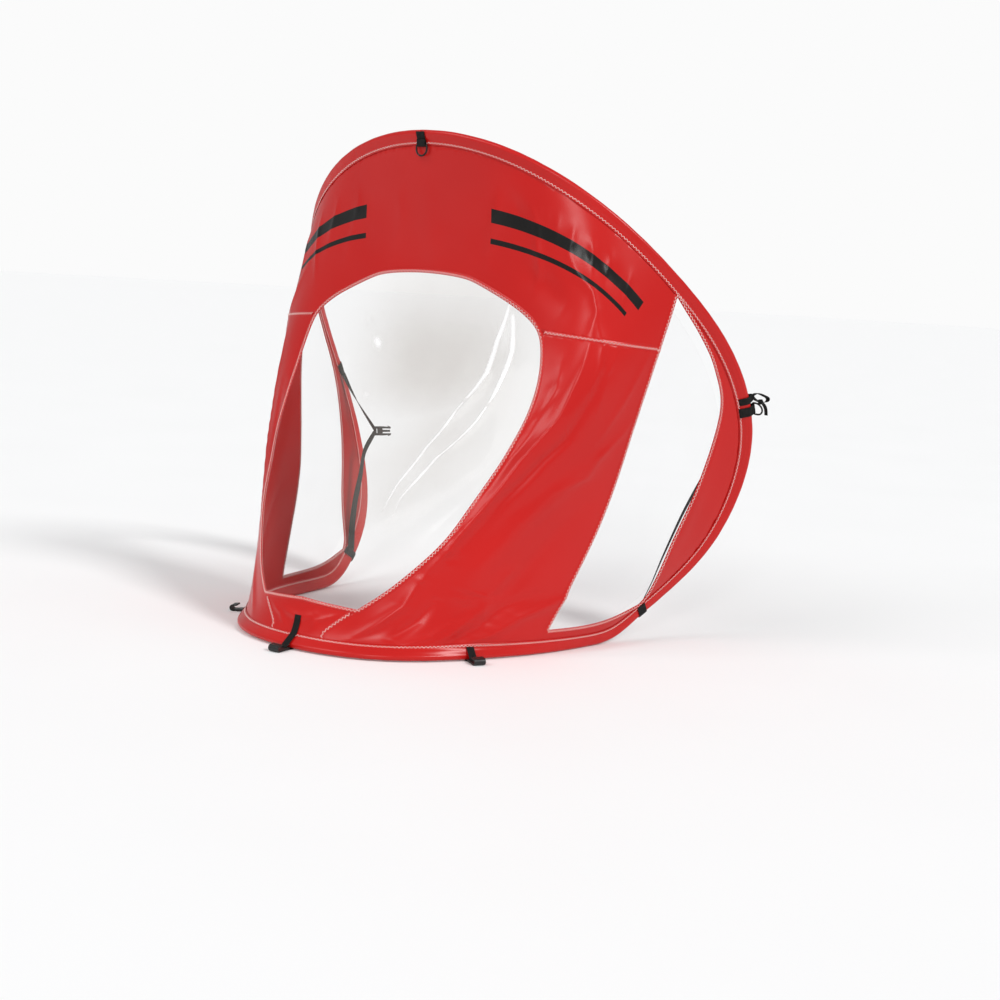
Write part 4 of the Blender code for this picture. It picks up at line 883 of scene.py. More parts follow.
def through(points, steps):
    """Smooth curve through the points, which stay on it."""
    points = [Vector(point) for point in points]
    padded = [points[0] * 2 - points[1], *points, points[-1] * 2 - points[-2]]
    curve = []
    for before, start, end, after in zip(padded, padded[1:], padded[2:], padded[3:]):
        for step in range(steps):
            t = step / steps
            pull = (before * (2 * t * t - t ** 3 - t) + start * (2 - 5 * t * t + 3 * t ** 3)
                    + end * (t + 4 * t * t - 3 * t ** 3) + after * (t ** 3 - t * t)) / 2
            curve.append(pull)
    return [*curve, points[-1]]


def rows_of(points):
    return np.array([tuple(point) for point in points], float)


def relaxed(points, rounds):
    """Curve with its bends evened out; its ends stay."""
    rows = rows_of(points)
    for _ in range(rounds):
        rows[1:-1] = rows[1:-1] / 2 + (rows[:-2] + rows[2:]) / 4
    return [Vector(row) for row in rows]


def across(points):
    return [(point[0], -point[1]) for point in points]


def run_lengths(spots):
    """How far along a path each of its points is."""
    return np.concatenate([[0], np.cumsum(np.linalg.norm(np.diff(spots, axis=0), axis=1))])


def at_runs(wanted, runs, table):
    """Rows of a table at the wanted lengths along its path."""
    return np.stack([np.interp(wanted, runs, column) for column in table.T], axis=1)


def spread(points, spacing, closed=False):
    """Places on the disc at even steps of real length along a path."""
    places = rows_of(points)
    if closed:
        places = np.vstack([places, places[:1]])
    runs = run_lengths(surface(places))
    count = max(int(round(runs[-1] / spacing)), 1)
    found = at_runs(np.linspace(0, runs[-1], count + 1), runs, places)
    return found[:-1] if closed else found


def shifted(places, amount, closed=False):
    """Path moved to its left on the cloth by a real length, mitred at corners."""
    places = rows_of(places)
    spots = hood_points(places)
    normals = smooth_normals(places)
    if closed:
        arriving = unit(spots - np.roll(spots, 1, axis=0))
        leaving = unit(np.roll(spots, -1, axis=0) - spots)
    else:
        steps = unit(np.diff(spots, axis=0))
        arriving = np.vstack([steps[:1], steps])
        leaving = np.vstack([steps, steps[-1:]])
    first = unit(np.cross(normals, arriving))
    second = unit(np.cross(normals, leaving))
    both = (first * second).sum(axis=1, keepdims=True)
    side = (first + second) / np.maximum(1 + both, MITRE_LIMIT)
    return places + to_disc(places, side * amount)


def to_disc(places, moves):
    """Moves on the disc that give short real moves along the cloth."""
    spots = hood_points(places)
    forward = (hood_points(places + (NUDGE_SHARE, 0)) - spots) / NUDGE_SHARE
    left = (hood_points(places + (0, NUDGE_SHARE)) - spots) / NUDGE_SHARE
    a = (forward * forward).sum(axis=1)
    b = (forward * left).sum(axis=1)
    c = (left * left).sum(axis=1)
    p = (forward * moves).sum(axis=1)
    q = (left * moves).sum(axis=1)
    under = a * c - b * b
    return np.stack([(p * c - q * b) / under, (q * a - p * b) / under], axis=1)


def inside(points, outline):
    """Which points lie inside an outline."""
    points = np.asarray(points, float)
    hit = np.zeros(len(points), bool)
    x, y = points.T
    for index, corner in enumerate(outline):
        last = outline[index - 1]
        if corner[1] == last[1]:
            continue
        spans = (corner[1] > y) != (last[1] > y)
        cross = (last[0] - corner[0]) * (y - corner[1]) / (last[1] - corner[1]) + corner[0]
        hit ^= spans & (x < cross)
    return hit


def clearance(points, outline):
    """Least distance from points to the sides of an outline."""
    least = np.full(len(points), np.inf)
    for index, corner in enumerate(outline):
        start = np.array(outline[index - 1])
        side = np.array(corner) - start
        size = side @ side
        along = np.clip((points - start) @ side / max(size, TINY), 0, 1)
        least = np.minimum(least, np.linalg.norm(points - start - along[:, None] * side, axis=1))
    return least


def wound(loop, way):
    """Outline turned to run left round its middle, or right round it where way is negative."""
    points = [tuple(point) for point in loop]
    area = sum(a[0] * b[1] - b[0] * a[1] for a, b in zip(points, points[1:] + points[:1]))
    return points if area * way > 0 else points[::-1]


def grid_points():
    """Even triangles over the disc."""
    count = math.ceil(1 / GRID_SHARE / ROW_SHARE) + 1
    return np.array([
        ((column + (row % 2) / 2) * GRID_SHARE, row * GRID_SHARE * ROW_SHARE)
        for row in range(-count, count + 1) for column in range(-count, count + 1)])


GRID = grid_points()


def line_points(lines):
    """Close rows of points along and beside narrow lines, which carry their fine shape."""
    rows = []
    for index, line in enumerate(lines):
        base = spread(line, LINE_STEP)
        beside = np.vstack([shifted(base, offset) for offset in LINE_OFFSETS])
        for before in lines[:index]:
            beside = beside[path_gap(beside, before)[0] > LINE_ROOM]
        rows.append(beside)
    return np.vstack(rows)


def sheet_mesh(name, outline, material, lift=0.0, marks=(), ink=None, fields=None, lines=()):
    """Open sheet cut to an outline on the disc and laid on the folded surface."""
    outline = wound(outline, 1)
    marks = [wound(mark, 1) for mark in marks]
    spots = GRID[inside(GRID, outline)]
    spots = spots[clearance(spots, outline) > GRID_SHARE * EDGE_ROOM_SHARE]
    for mark in marks:
        spots = spots[clearance(spots, mark) > GRID_SHARE * EDGE_ROOM_SHARE / 2]
    for line in lines:
        spots = spots[path_gap(spots, line)[0] > LINE_ROOM]
    if lines:
        spots = np.vstack([spots, line_points(lines)])
    rings = [list(range(len(outline)))]
    points = [Vector(point) for point in outline]
    for mark in marks:
        rings.append(list(range(len(points), len(points) + len(mark))))
        points += [Vector(point) for point in mark]
    points += [Vector(point) for point in spots]
    verts, _, faces, _, _, owners = delaunay_2d_cdt(points, [], rings, 1, NUDGE_SHARE ** 2)
    places = rows_of(verts)
    laid = surface(places, lift)
    kept = [(face, owner) for face, owner in zip(faces, owners) if owner]
    faces = [face for face, _ in kept]
    slots = [1 if max(owner) > 0 else 0 for _, owner in kept]
    materials = [material] + ([ink] if ink else [])
    item = add_mesh(name, laid, faces, materials, places * HOOD_HALF_WIDTH, slots)
    for field, values in (fields(places) if fields else {}).items():
        item.data.attributes.new(field, "FLOAT", "POINT").data.foreach_set("value", values)
    return item


def outline_curves():
    """The seams and edges of the left half, as places on the disc."""
    edge = [Vector(station.tucked) for station in STATIONS]
    peak = Vector(STATIONS[station_index(WINDOW_PEAK_SHARE)].disc)
    seam = Vector(STATIONS[station_index(FRONT_SEAM_SHARE)].disc)
    left_half = WINDOW_TOP_SHARES + WINDOW_FLANK_SHARES[1:]
    whole = through((*across(left_half[:0:-1]), *left_half), OUTLINE_STEPS)
    around = relaxed(whole, RELAX_ROUNDS)[(len(left_half) - 1) * OUTLINE_STEPS:]
    corner = (len(WINDOW_TOP_SHARES) - 1) * OUTLINE_STEPS
    shoulder = through(SHOULDER_SEAM_SHARES, OUTLINE_STEPS)
    shoulder[0] = around[corner]
    side_front = relaxed(through((peak, *SIDE_FRONT_SHARES), OUTLINE_STEPS), RELAX_ROUNDS)
    shoulder[-1] = side_front[OUTLINE_STEPS]
    return {
        "edge": edge, "top": around[:corner + 1], "flank": around[corner:],
        "sill": through(WINDOW_SILL_SHARES, OUTLINE_STEPS),
        "shoulder": shoulder,
        "front_seam": through((*FRONT_SEAM_SHARES, seam), OUTLINE_STEPS),
        "upper_front": side_front[:OUTLINE_STEPS + 1], "lower_front": side_front[OUTLINE_STEPS:],
        "side_sill": through(SIDE_SILL_SHARES, OUTLINE_STEPS),
        "side_aft": through((*SIDE_AFT_SHARES, peak), OUTLINE_STEPS)}


LINES = outline_curves()


def print_marks(sign):
    """Even stripes that follow the rim, each a closed outline on the disc."""
    marks = []
    for middle, half, start, end in PRINT_STRIPES:
        turns = [start + (end - start) * step / PRINT_STEPS for step in range(PRINT_STEPS + 1)]
        sides = [[(-size * math.cos(turn), sign * size * math.sin(turn)) for turn in turns]
                 for size in (middle + half, middle - half)]
        marks.append(sides[0] + sides[1][::-1])
    return marks


def make_cloth():
    """The red panels, each thickened cloth on the shared folded surface."""
    (edge, top, flank, sill, shoulder, front_seam, upper_front, lower_front, side_sill,
     side_aft) = LINES.values()
    seam, low, peak = (station_index(share) for share in (
        FRONT_SEAM_SHARE, LOWER_TAB_SHARE, WINDOW_PEAK_SHARE))
    made = {}

    arch = edge[peak:]
    half = [*arch, *across(arch[-2::-1])]
    inner = [*across(upper_front), *across(shoulder[-2::-1]), *across(top[-2::-1])]
    back = [*top[1:], *shoulder[1:], *upper_front[-2::-1]]
    marks = print_marks(1) + print_marks(-1)
    made["upper_panel"] = sheet_mesh("upper_panel_cloth", half + inner + back, RED, marks=marks,
                                     ink=INK)

    loop = (edge[seam:low + 1] + side_sill[::-1] + lower_front[-2::-1] + shoulder[-2::-1]
            + flank[1:] + front_seam[1:])
    strip = edge[low:peak + 1] + side_aft[::-1]
    for side, turn in (("left", list), ("right", across)):
        made[f"{side}_pillar_panel"] = sheet_mesh(f"{side}_pillar_panel_cloth", turn(loop), RED)
        made[f"{side}_rear_strip"] = sheet_mesh(f"{side}_rear_strip_cloth", turn(strip), RED)

    foot = edge[:seam + 1]
    front = (across(foot[:0:-1]) + foot + front_seam[::-1] + sill[1:]
             + across(sill[-2::-1]) + across(front_seam[1:]))
    made["front_panel"] = sheet_mesh("front_panel_cloth", front, RED)
    for node, item in made.items():
        # The inner side takes the lining: the uncoated side, darker by painted shade
        item.data.materials.append(LINING_PAINTED_SHADE)
        thicken(item, CLOTH_THICKNESS).material_offset = LINING_OFFSET
        dress(item, stands_for=(node,))
    return made


def window_loops():
    top, flank, sill = LINES["top"], LINES["flank"], LINES["sill"]
    main = (across(sill[:-1]) + sill[::-1] + flank[-2::-1] + top[-2::-1]
            + across(top[1:]) + across(flank[1:-1]))
    side = (LINES["side_sill"][:-1] + LINES["side_aft"][:-1] + LINES["upper_front"][:-1]
            + LINES["lower_front"][:-1])
    return main, side


def make_windows():
    main, side = window_loops()
    drop = -(CLOTH_THICKNESS + VINYL_THICKNESS) / 2 - FILM_GAP
    # Paths of the painted crease highlights, which get close rows of points
    highlight_paths = [crease[0] for crease in FILM_CREASE_HIGHLIGHTS]
    made = {}
    for node, loop, material, fields, lines in (
            ("main_window", main, CLEAR, film_highlights_and_haze, highlight_paths),
            ("left_side_window", side, CLEAR_SIDE, None, ()),
            ("right_side_window", across(side), CLEAR_SIDE, None, ())):
        grown = shifted(wound(loop, -1), WINDOW_TUCK, closed=True)
        grown *= np.minimum(1, FILM_REACH / np.linalg.norm(grown, axis=1, keepdims=True))
        item = sheet_mesh(f"{node}_film", grown, material, lift=drop, fields=fields, lines=lines)
        thicken(item, VINYL_THICKNESS)
        made[node] = dress(item, stands_for=(node,))
    return made


def hem_band(name, path, closed, start, end):
    """Doubled cloth along a seam, a strip that rises softly from the panel."""
    offsets = (start, start + HEM_SHOULDER, (start + end) / 2, end - HEM_SHOULDER, end)
    lifts = (HEM_EDGE_RISE, HEM_RISE, HEM_RISE * HEM_CROWN, HEM_RISE, HEM_EDGE_RISE)
    base = spread(path, HEM_STEP, closed)
    lines = [surface(shifted(base, offset, closed), lift + CLOTH_THICKNESS / 2)
             for offset, lift in zip(offsets, lifts)]
    uvs = [(index * HEM_STEP, offset) for index in range(len(base)) for offset in offsets]
    return skin_mesh(name, list(zip(*lines)), RED, uvs, closed_rows=False, closed_run=closed)


def thread_curve(name, runs):
    return curve_object(name, runs, THREAD, dimensions="3D", bevel_depth=THREAD_RADIUS,
                        bevel_resolution=1, use_fill_caps=True)


def thread_points(holes, laid):
    """Points of a thread that dips at each hole and rises over the cloth between them."""
    after = np.roll(holes, -1, axis=0)
    near = holes * (1 - THREAD_BEND) + after * THREAD_BEND
    far = holes * THREAD_BEND + after * (1 - THREAD_BEND)
    rise = THREAD_RADIUS * THREAD_RISE
    rows = [laid(holes, -THREAD_RADIUS), laid(near, rise), laid(far, rise)]
    return np.stack(rows, axis=1).reshape(-1, 3)


def zigzag(path, closed, offset, lift):
    """Points of a zigzag stitch beside a path, over or under the cloth."""
    base = shifted(spread(path, SEAM_STEP, closed), offset, closed)
    middle = spread(base, STITCH_PITCH, closed)
    if closed and len(middle) % 2:
        middle = middle[:-1]
    holes = np.where(np.arange(len(middle))[:, None] % 2, shifted(middle, STITCH_REACH, closed),
                     shifted(middle, -STITCH_REACH, closed))
    way = math.copysign(1, lift)
    points = thread_points(holes, lambda places, rise: surface(places, lift + way * rise))
    return (points if closed else points[:-2]), closed


def make_seams(cloth, windows):
    """Hems and stitches along the windows and seams, and the sheets that carry them."""
    main, side = window_loops()
    shoulder, front_seam = LINES["shoulder"], LINES["front_seam"]
    top = CLOTH_THICKNESS / 2 + HEM_RISE
    under = -CLOTH_THICKNESS / 2 - VINYL_THICKNESS - UNDER_STITCH_GAP
    going = {}
    for name, owner, path, closed in (
            ("main_window", windows["main_window"], wound(main, -1), True),
            ("left_side_window", windows["left_side_window"], wound(side, -1), True),
            ("right_side_window", windows["right_side_window"], wound(across(side), -1), True),
            ("left_shoulder", cloth["left_pillar_panel"], shoulder, False),
            ("right_shoulder", cloth["right_pillar_panel"], across(shoulder), False),
            ("left_front_seam", cloth["front_panel"], front_seam, False),
            ("right_front_seam", cloth["front_panel"], across(front_seam), False)):
        start, end, offset = HEM_START, HEM_WIDTH, STITCH_INSET
        if not closed:
            start, end, offset = -HEM_WIDTH / 2, HEM_WIDTH / 2, 0.0
            path = spread(path, SEAM_STEP)[SEAM_STEPS_LEFT_OUT:]
        hem = dress(hem_band(f"{name}_hem", path, closed, start, end))
        runs = [zigzag(path, closed, offset, lift) for lift in (top, under)]
        stitch = dress(thread_curve(f"{name}_stitch", runs))
        going.setdefault(owner.name, []).extend([hem, stitch])
    return going


# Sleeves

def sleeve_profile():
    """Midline of the sleeve's cloth: flange, taut over the rod, flange back."""
    first = math.radians(SLEEVE_LIFT_OFF)
    count = round((180 - SLEEVE_LIFT_OFF) / SLEEVE_FACET)
    angles = [first + (math.pi - first) * step / count for step in range(count + 1)]
    bead = [(SLEEVE_RADIUS * math.cos(angle), SLEEVE_RADIUS * math.sin(angle))
            for angle in angles]
    foot = (STITCH_LINE - 2 * STITCH_REACH * STITCH_SHARE, FLANGE_HEIGHT)
    upper = [(FLANGE_REACH, FLANGE_HEIGHT), (STITCH_LINE, FLANGE_HEIGHT), foot]
    for step in range(1, TAUT_STEPS):
        share = step / TAUT_STEPS
        bulge = SLEEVE_BULGE * math.sin(math.pi * share)
        upper.append((foot[0] + (bead[0][0] - foot[0]) * share,
                      foot[1] + (bead[0][1] - foot[1]) * share + bulge))
    upper += bead
    return upper + [(a, -b) for a, b in upper[-2::-1]]


def pucker(run, length, seed, a):
    """Lift of the sleeve's cloth: none at the stitches, and more between them and the bead."""
    loose = min(abs(a - STITCH_LINE) / PUCKER_ROOM, 1)
    wave = noise.noise(Vector((run / PUCKER_LENGTH, length / PUCKER_WIDTH, seed)))
    return (wave + 0.5) * PUCKER_HEIGHT * loose if a > SLEEVE_RADIUS else wave * BEAD_PUCKER


def sleeve_point(station, a, b, run, length, seed):
    """Point of the sleeve's cloth, moved out by its pucker."""
    if a > SLEEVE_RADIUS:
        spot = station.place(a * (station.reach / FLANGE_REACH), b)
        out = station.outward * math.copysign(1, b)
    else:
        spot = station.place(a, b)
        out = (station.inward * a + station.outward * b).normalized()
    return spot + out * pucker(run, length, seed, a)


def make_sleeves():
    profile = sleeve_profile()
    lengths = run_lengths(profile)
    made = {}
    for part, start, end in (("base", 0.0, LOWER_TAB_SHARE),
                             ("rear", LOWER_TAB_SHARE, SIDE_TAB_SHARE),
                             ("upper", SIDE_TAB_SHARE, 1.0)):
        stretch = STATIONS[station_index(start):station_index(end) + 1]
        runs = run_lengths(rows_of(station.centre for station in stretch))
        uvs = [(run, length) for run in runs for length in lengths]
        for side, sign in (("left", 1), ("right", -1)):
            seed = sign * PUCKER_SIDE_SEED + start * PUCKER_PART_SEED
            rows = [[sleeve_point(station, a, b, run, length, seed) * Vector((1, sign, 1))
                     for (a, b), length in zip(profile, lengths)]
                    for station, run in zip(stretch, runs)]
            node = f"{side}_{part}_sleeve"
            item = skin_mesh(f"{node}_cloth", rows, RED, uvs, closed_rows=False)
            thicken(item, SLEEVE_CLOTH)
            made[node] = dress(item, stands_for=(node,))
    return made


def make_rim_stitches():
    """Zigzag through the sleeve's flange, outside and inside."""
    made = {}
    for side, sign in (("left", 1), ("right", -1)):
        runs = []
        for way in (1, -1):
            centres = rows_of(station.place(STITCH_LINE, way * (FLANGE_HEIGHT + SLEEVE_CLOTH / 2))
                              for station in STATIONS)
            reached = run_lengths(centres)
            wanted = np.linspace(0, reached[-1], int(reached[-1] / STITCH_PITCH) + 1)
            middle, inward, lift = (at_runs(wanted, reached, table) for table in (
                centres, rows_of(station.inward for station in STATIONS),
                rows_of(station.outward * way for station in STATIONS)))
            signs = np.where(np.arange(len(wanted)) % 2, 1.0, -1.0)[:, None]
            holes = middle + inward * signs * STITCH_REACH * STITCH_SHARE
            points = thread_points(holes, lambda places, rise: places + lift * rise)[:-2]
            runs.append((points * (1, sign, 1), False))
        made[side] = dress(thread_curve(f"{side}_rim_stitch", runs))
    return made


# Webbing

def tangent_normals(places):
    """Right hand normals of the straight runs between circles."""
    normals = []
    for (start, first), (end, second) in zip(places, places[1:]):
        gap = end - start
        way = gap.normalized()
        lean = (first - second) / gap.length
        side = Vector((way.y, -way.x))
        normals.append(way * lean + side * math.sqrt(max(1 - lean * lean, 0)))
    return normals


def belt(stops):
    """Midline round a row of circles: radius positive where it turns left round one."""
    places = [(Vector(centre), radius) for centre, radius in stops]
    normals = tangent_normals(places)
    line = [places[0][0] + normals[0] * places[0][1]]
    for index, (centre, radius) in enumerate(places[1:-1], 1):
        if radius == 0:
            line.append(centre)
            continue
        begin = math.atan2(normals[index - 1].y, normals[index - 1].x)
        sweep = math.atan2(normals[index].y, normals[index].x) - begin
        turn = math.copysign(1, radius)
        sweep = turn * ((turn * sweep) % math.tau)
        if abs(sweep) > WINDING_LIMIT:
            return belt(stops[:index] + stops[index + 1:])
        count = max(math.ceil(abs(sweep) / BEND_FACET), 1)
        for step in range(count + 1):
            angle = begin + sweep * step / count
            line.append(centre + Vector((math.cos(angle), math.sin(angle))) * radius)
    line.append(places[-1][0] + normals[-1] * places[-1][1])
    return line


def even_steps(route, spacing):
    """Route of places and ways with long straights split."""
    made = [route[0]]
    for (start, first), (end, second) in zip(route, route[1:]):
        count = max(math.ceil((end - start).length / spacing), 1)
        for step in range(1, count + 1):
            made.append((start.lerp(end, step / count), first.lerp(second, step / count)))
    return made


def webbing(name, route, width, thickness=WEBBING_THICKNESS, split=WEBBING_STEP):
    """Woven strap along a route of places and width directions, with soft round edges."""
    route = even_steps(route, split)
    half = width / 2
    edge = thickness / 2
    upper = [(half * share + edge * inset, rise) for share, inset, rise in WEBBING_SECTION]
    ring_shape = upper + [(-a, -b) for a, b in upper]
    rows = []
    uvs = []
    run = 0.0
    for index, (point, side) in enumerate(route):
        before = route[max(index - 1, 0)][0]
        after = route[min(index + 1, len(route) - 1)][0]
        run += (point - before).length
        way = (after - before).normalized()
        side = (side - way * side.dot(way)).normalized()
        face = way.cross(side)
        rows.append([point + side * a + face * (b * edge) for a, b in ring_shape])
        uvs += [(run, a) for a, b in ring_shape]
    return skin_mesh(name, rows, WEBBING, uvs)


def add_webbing(node, route, width, mirror=False):
    path = reflected(route) if mirror else route
    dress(webbing(f"{node}_webbing", path, width), stands_for=(node,))


def reflected(route):
    return [(Vector((p.x, -p.y, p.z)), Vector((s.x, -s.y, s.z))) for p, s in route]


def planar(station, line):
    """Route of a flat midline in a station's plane."""
    return [(station.place(point.x, point.y), station.along) for point in line]


def wrap_line(station, loop_at, loop_radius, run, lead=()):
    """Midline out over the bead, round a bar and back under the bead."""
    start = [((run, FLANGE_LAP), 0)]
    if lead:
        start = [(station.flat(point), 0) for point in lead]
    bead = ((0, 0), BEAD_LAP * CAD_FACET_SPREAD)
    loop = (station.flat(loop_at), loop_radius * CAD_FACET_SPREAD)
    return belt([*start, bead, loop, bead, ((run, -FLANGE_LAP), 0)])


def ribbon_outline(line, thickness):
    """Outline of a strip of even thickness along a midline."""
    left = []
    right = []
    for index, point in enumerate(line):
        before = (point - line[index - 1]).normalized() if index else None
        after = (line[index + 1] - point).normalized() if index + 1 < len(line) else None
        before = before or after
        after = after or before
        way = (before + after).normalized()
        side = Vector((-way.y, way.x)) * thickness / 2 / max(way.dot(after), RIBBON_MITRE_LIMIT)
        left.append(point + side)
        right.append(point - side)
    return left + right[::-1]


# Hard pieces

def framed(centre, *axes):
    """Matrix that sets three axes down at a centre."""
    matrix = Matrix(axes).transposed().to_4x4()
    matrix.translation = centre
    return matrix


def set_down(item, matrix, mirror):
    """Moves an object's mesh by a matrix, or to the mirror image of where that puts it."""
    item.data.transform(MIRROR @ matrix if mirror else matrix)
    if mirror:
        item.data.flip_normals()


def final_mesh(item):
    graph = bpy.context.evaluated_depsgraph_get()
    graph.update()
    return bpy.data.meshes.new_from_object(item.evaluated_get(graph))


def solid_from_curve(item):
    """Mesh object in place of a curve object."""
    mesh = final_mesh(item)
    name = item.name
    bpy.data.objects.remove(item, do_unlink=True)
    with edited(mesh) as work:
        bmesh.ops.remove_doubles(work, verts=work.verts, dist=WELD_GAP)
        bmesh.ops.recalc_face_normals(work, faces=work.faces)
    mesh.name = name
    return add_object(name, mesh)


def plate(name, outlines, thickness):
    """Flat plastic solid with these outlines, the inner ones as holes."""
    return solid_from_curve(curve_object(
        name, [(outline, True) for outline in outlines], PLASTIC, smooth=False,
        dimensions="2D", fill_mode="BOTH", extrude=thickness / 2))


def round_edges(item, angle):
    rounded = item.modifiers.new("edges", "BEVEL")
    rounded.width = EDGE_ROUNDING
    rounded.segments = EDGE_SEGMENTS
    rounded.limit_method = "ANGLE"
    rounded.angle_limit = angle


def arc(x, y, radius, first, last, steps):
    angles = [math.radians(first + (last - first) * step / steps) for step in range(steps + 1)]
    return [(x + radius * math.cos(angle), y + radius * math.sin(angle)) for angle in angles]


def add_ring(node, centre, bar_way, hang_way, mirror=False):
    """D ring: straight bar through the webbing and a round bow that hangs from it."""
    half = WIDE_WEBBING / 2 + RING_SIDE_ROOM + RING_WIRE_RADIUS
    corner = RING_CORNER_RADIUS
    points = (arc(half - corner, corner, corner, -90, 0, CORNER_STEPS)
              + arc(0, RING_DEPTH - half, half, 0, 180, RING_BOW_STEPS)
              + arc(corner - half, corner, corner, 180, 270, CORNER_STEPS))
    ring = solid_from_curve(curve_object(
        f"{node}_wire", [(points, True)], WIRE, dimensions="3D", fill_mode="FULL",
        bevel_depth=RING_WIRE_RADIUS, bevel_resolution=RING_SMOOTHNESS))
    set_down(ring, framed(centre, bar_way, hang_way, bar_way.cross(hang_way)), mirror)
    shade_smooth(ring.data)
    dress(ring, node, (node,))


def add_hook(node, centre, out_way, mirror=False):
    """Flat plastic hook: slotted shank for the webbing, and a lip turned up and back."""
    bar_to_bend = HOOK_BAR / 2 + HOOK_SLOT + HOOK_SHANK
    line = belt([
        ((-HOOK_BAR / 2, 0), 0), ((bar_to_bend, HOOK_BEND_RADIUS), HOOK_BEND_RADIUS),
        ((bar_to_bend - HOOK_LIP, 2 * HOOK_BEND_RADIUS), 0)])
    solid = plate(f"{node}_plastic", [ribbon_outline(line, HOOK_THICKNESS)], HOOK_WIDTH)
    slot = bpy.data.meshes.new("slot")
    size = (HOOK_SLOT, HOOK_THICKNESS * 2, NARROW_WEBBING + 2 * HOOK_LOOP_ROOM)
    with edited(slot) as work:
        bmesh.ops.create_cube(work, size=1)
        bmesh.ops.scale(work, vec=size, verts=work.verts)
        bmesh.ops.translate(work, vec=(HOOK_BAR / 2 + HOOK_SLOT / 2, 0, 0), verts=work.verts)
    cutter = add_object("slot", slot)
    cut = solid.modifiers.new("slot", "BOOLEAN")
    cut.operation = "DIFFERENCE"
    cut.solver = "EXACT"
    cut.object = cutter
    round_edges(solid, HOOK_EDGE)
    mesh = final_mesh(solid)
    solid.modifiers.clear()
    solid.data = mesh
    bpy.data.objects.remove(cutter, do_unlink=True)

    half = HOOK_THICKNESS / 2
    slope = (math.asin(HOOK_BAR_HEIGHT / math.hypot(bar_to_bend, half))
             - math.atan2(half, bar_to_bend))
    way = (out_way * math.cos(slope) - UP * math.sin(slope)).normalized()
    rise = (UP * math.cos(slope) + out_way * math.sin(slope)).normalized()
    set_down(solid, framed(centre, way, rise, way.cross(rise)), mirror)
    dress(solid, node, (node,))


def floor_tie_route(share, reach, lead_shares=()):
    """Route of a tab that holds a hook at the deck, the hook's place and its way out."""
    station = Station(share)
    out = -station.inward
    out.z = 0
    out -= station.along * out.dot(station.along)
    if out.dot(station.outward) < 0:
        out = -out
    out.normalize()
    loop_at = station.centre + out * reach
    loop_at.z = HOOK_BAR_HEIGHT
    lift = CLOTH_THICKNESS / 2 + CAD_LAP_CLEARANCE + WEBBING_THICKNESS / 2
    places = [(xi, 0) for xi in lead_shares]
    lead = [Vector(point) for point in surface(places, lift)] if places else []
    line = wrap_line(station, loop_at, HOOK_LOOP, BASE_TAB_RUN, lead)
    return planar(station, line), loop_at, out


def leg_stops(station, line):
    """Two places and the width direction of a strap that lies on a tab's inner leg."""
    start, end = line[-2], line[-1]
    way = (end - start).normalized()
    lift = Vector((way.y, -way.x)) * (WEBBING_THICKNESS + CAD_LAP_CLEARANCE)
    middle = (start + end) / 2 + lift
    side = station.place(way.x, way.y) - station.centre
    reach = WIDE_WEBBING * LEG_SHARE
    return [(station.place(*middle, reach), side), (station.place(*middle, -reach), side)]


def smoothed(stops):
    places = through([stop[0] for stop in stops], ROUTE_STEPS)
    return list(zip(places, through([stop[1] for stop in stops], ROUTE_STEPS)))


def make_webbing():
    """Every tab, strap, ring, hook and the buckle."""
    route, loop_at, out = floor_tie_route(0.0, FRONT_LOOP_REACH, FRONT_STRIP_SHARES)
    add_webbing("front_tab", route, NARROW_WEBBING)
    add_hook("front_hook", loop_at, out)
    route, loop_at, out = floor_tie_route(BASE_TAB_SHARE, BASE_LOOP_REACH)
    for side, mirror in (("left", False), ("right", True)):
        add_webbing(f"{side}_base_tab", route, NARROW_WEBBING, mirror)
        add_hook(f"{side}_base_hook", loop_at, out, mirror)

    top = Station(1.0)
    lap = BEAD_LAP * CAD_FACET_SPREAD
    loop = RING_LOOP * CAD_FACET_SPREAD
    loop_flat = Vector((TOP_LOOP_DROP, FLANGE_LAP + loop))
    line = belt([((-BEAD_LAP / 2, lap), 0), ((0, 0), -lap), (loop_flat, loop),
                 ((TOP_TAB_END, TOP_TAB_END_RISE), 0)])
    add_webbing("top_tab", planar(top, line), WIDE_WEBBING)
    add_ring("top_ring", top.place(*loop_flat), top.along, -UP)

    upper = Station(SIDE_TAB_SHARE)
    loop_at = upper.place(-SIDE_LOOP_REACH, 0)
    upper_line = wrap_line(upper, loop_at, RING_LOOP, SIDE_TAB_RUN)
    lower = Station(LOWER_TAB_SHARE)
    lower_line = belt([((LOWER_TAB_RUN, FLANGE_LAP), 0), ((0, 0), lap),
                       ((LOWER_TAB_RUN, -FLANGE_LAP), 0)])
    hang = upper.outward * math.sin(RING_REST) - upper.inward * math.cos(RING_REST)
    for side, mirror in (("left", False), ("right", True)):
        add_webbing(f"{side}_side_tab", planar(upper, upper_line), WIDE_WEBBING, mirror)
        add_webbing(f"{side}_lower_tab", planar(lower, lower_line), WIDE_WEBBING, mirror)
        add_ring(f"{side}_side_ring", loop_at, upper.along, hang, mirror)
    make_straps((upper, upper_line), (lower, lower_line))
    make_tie_strap()


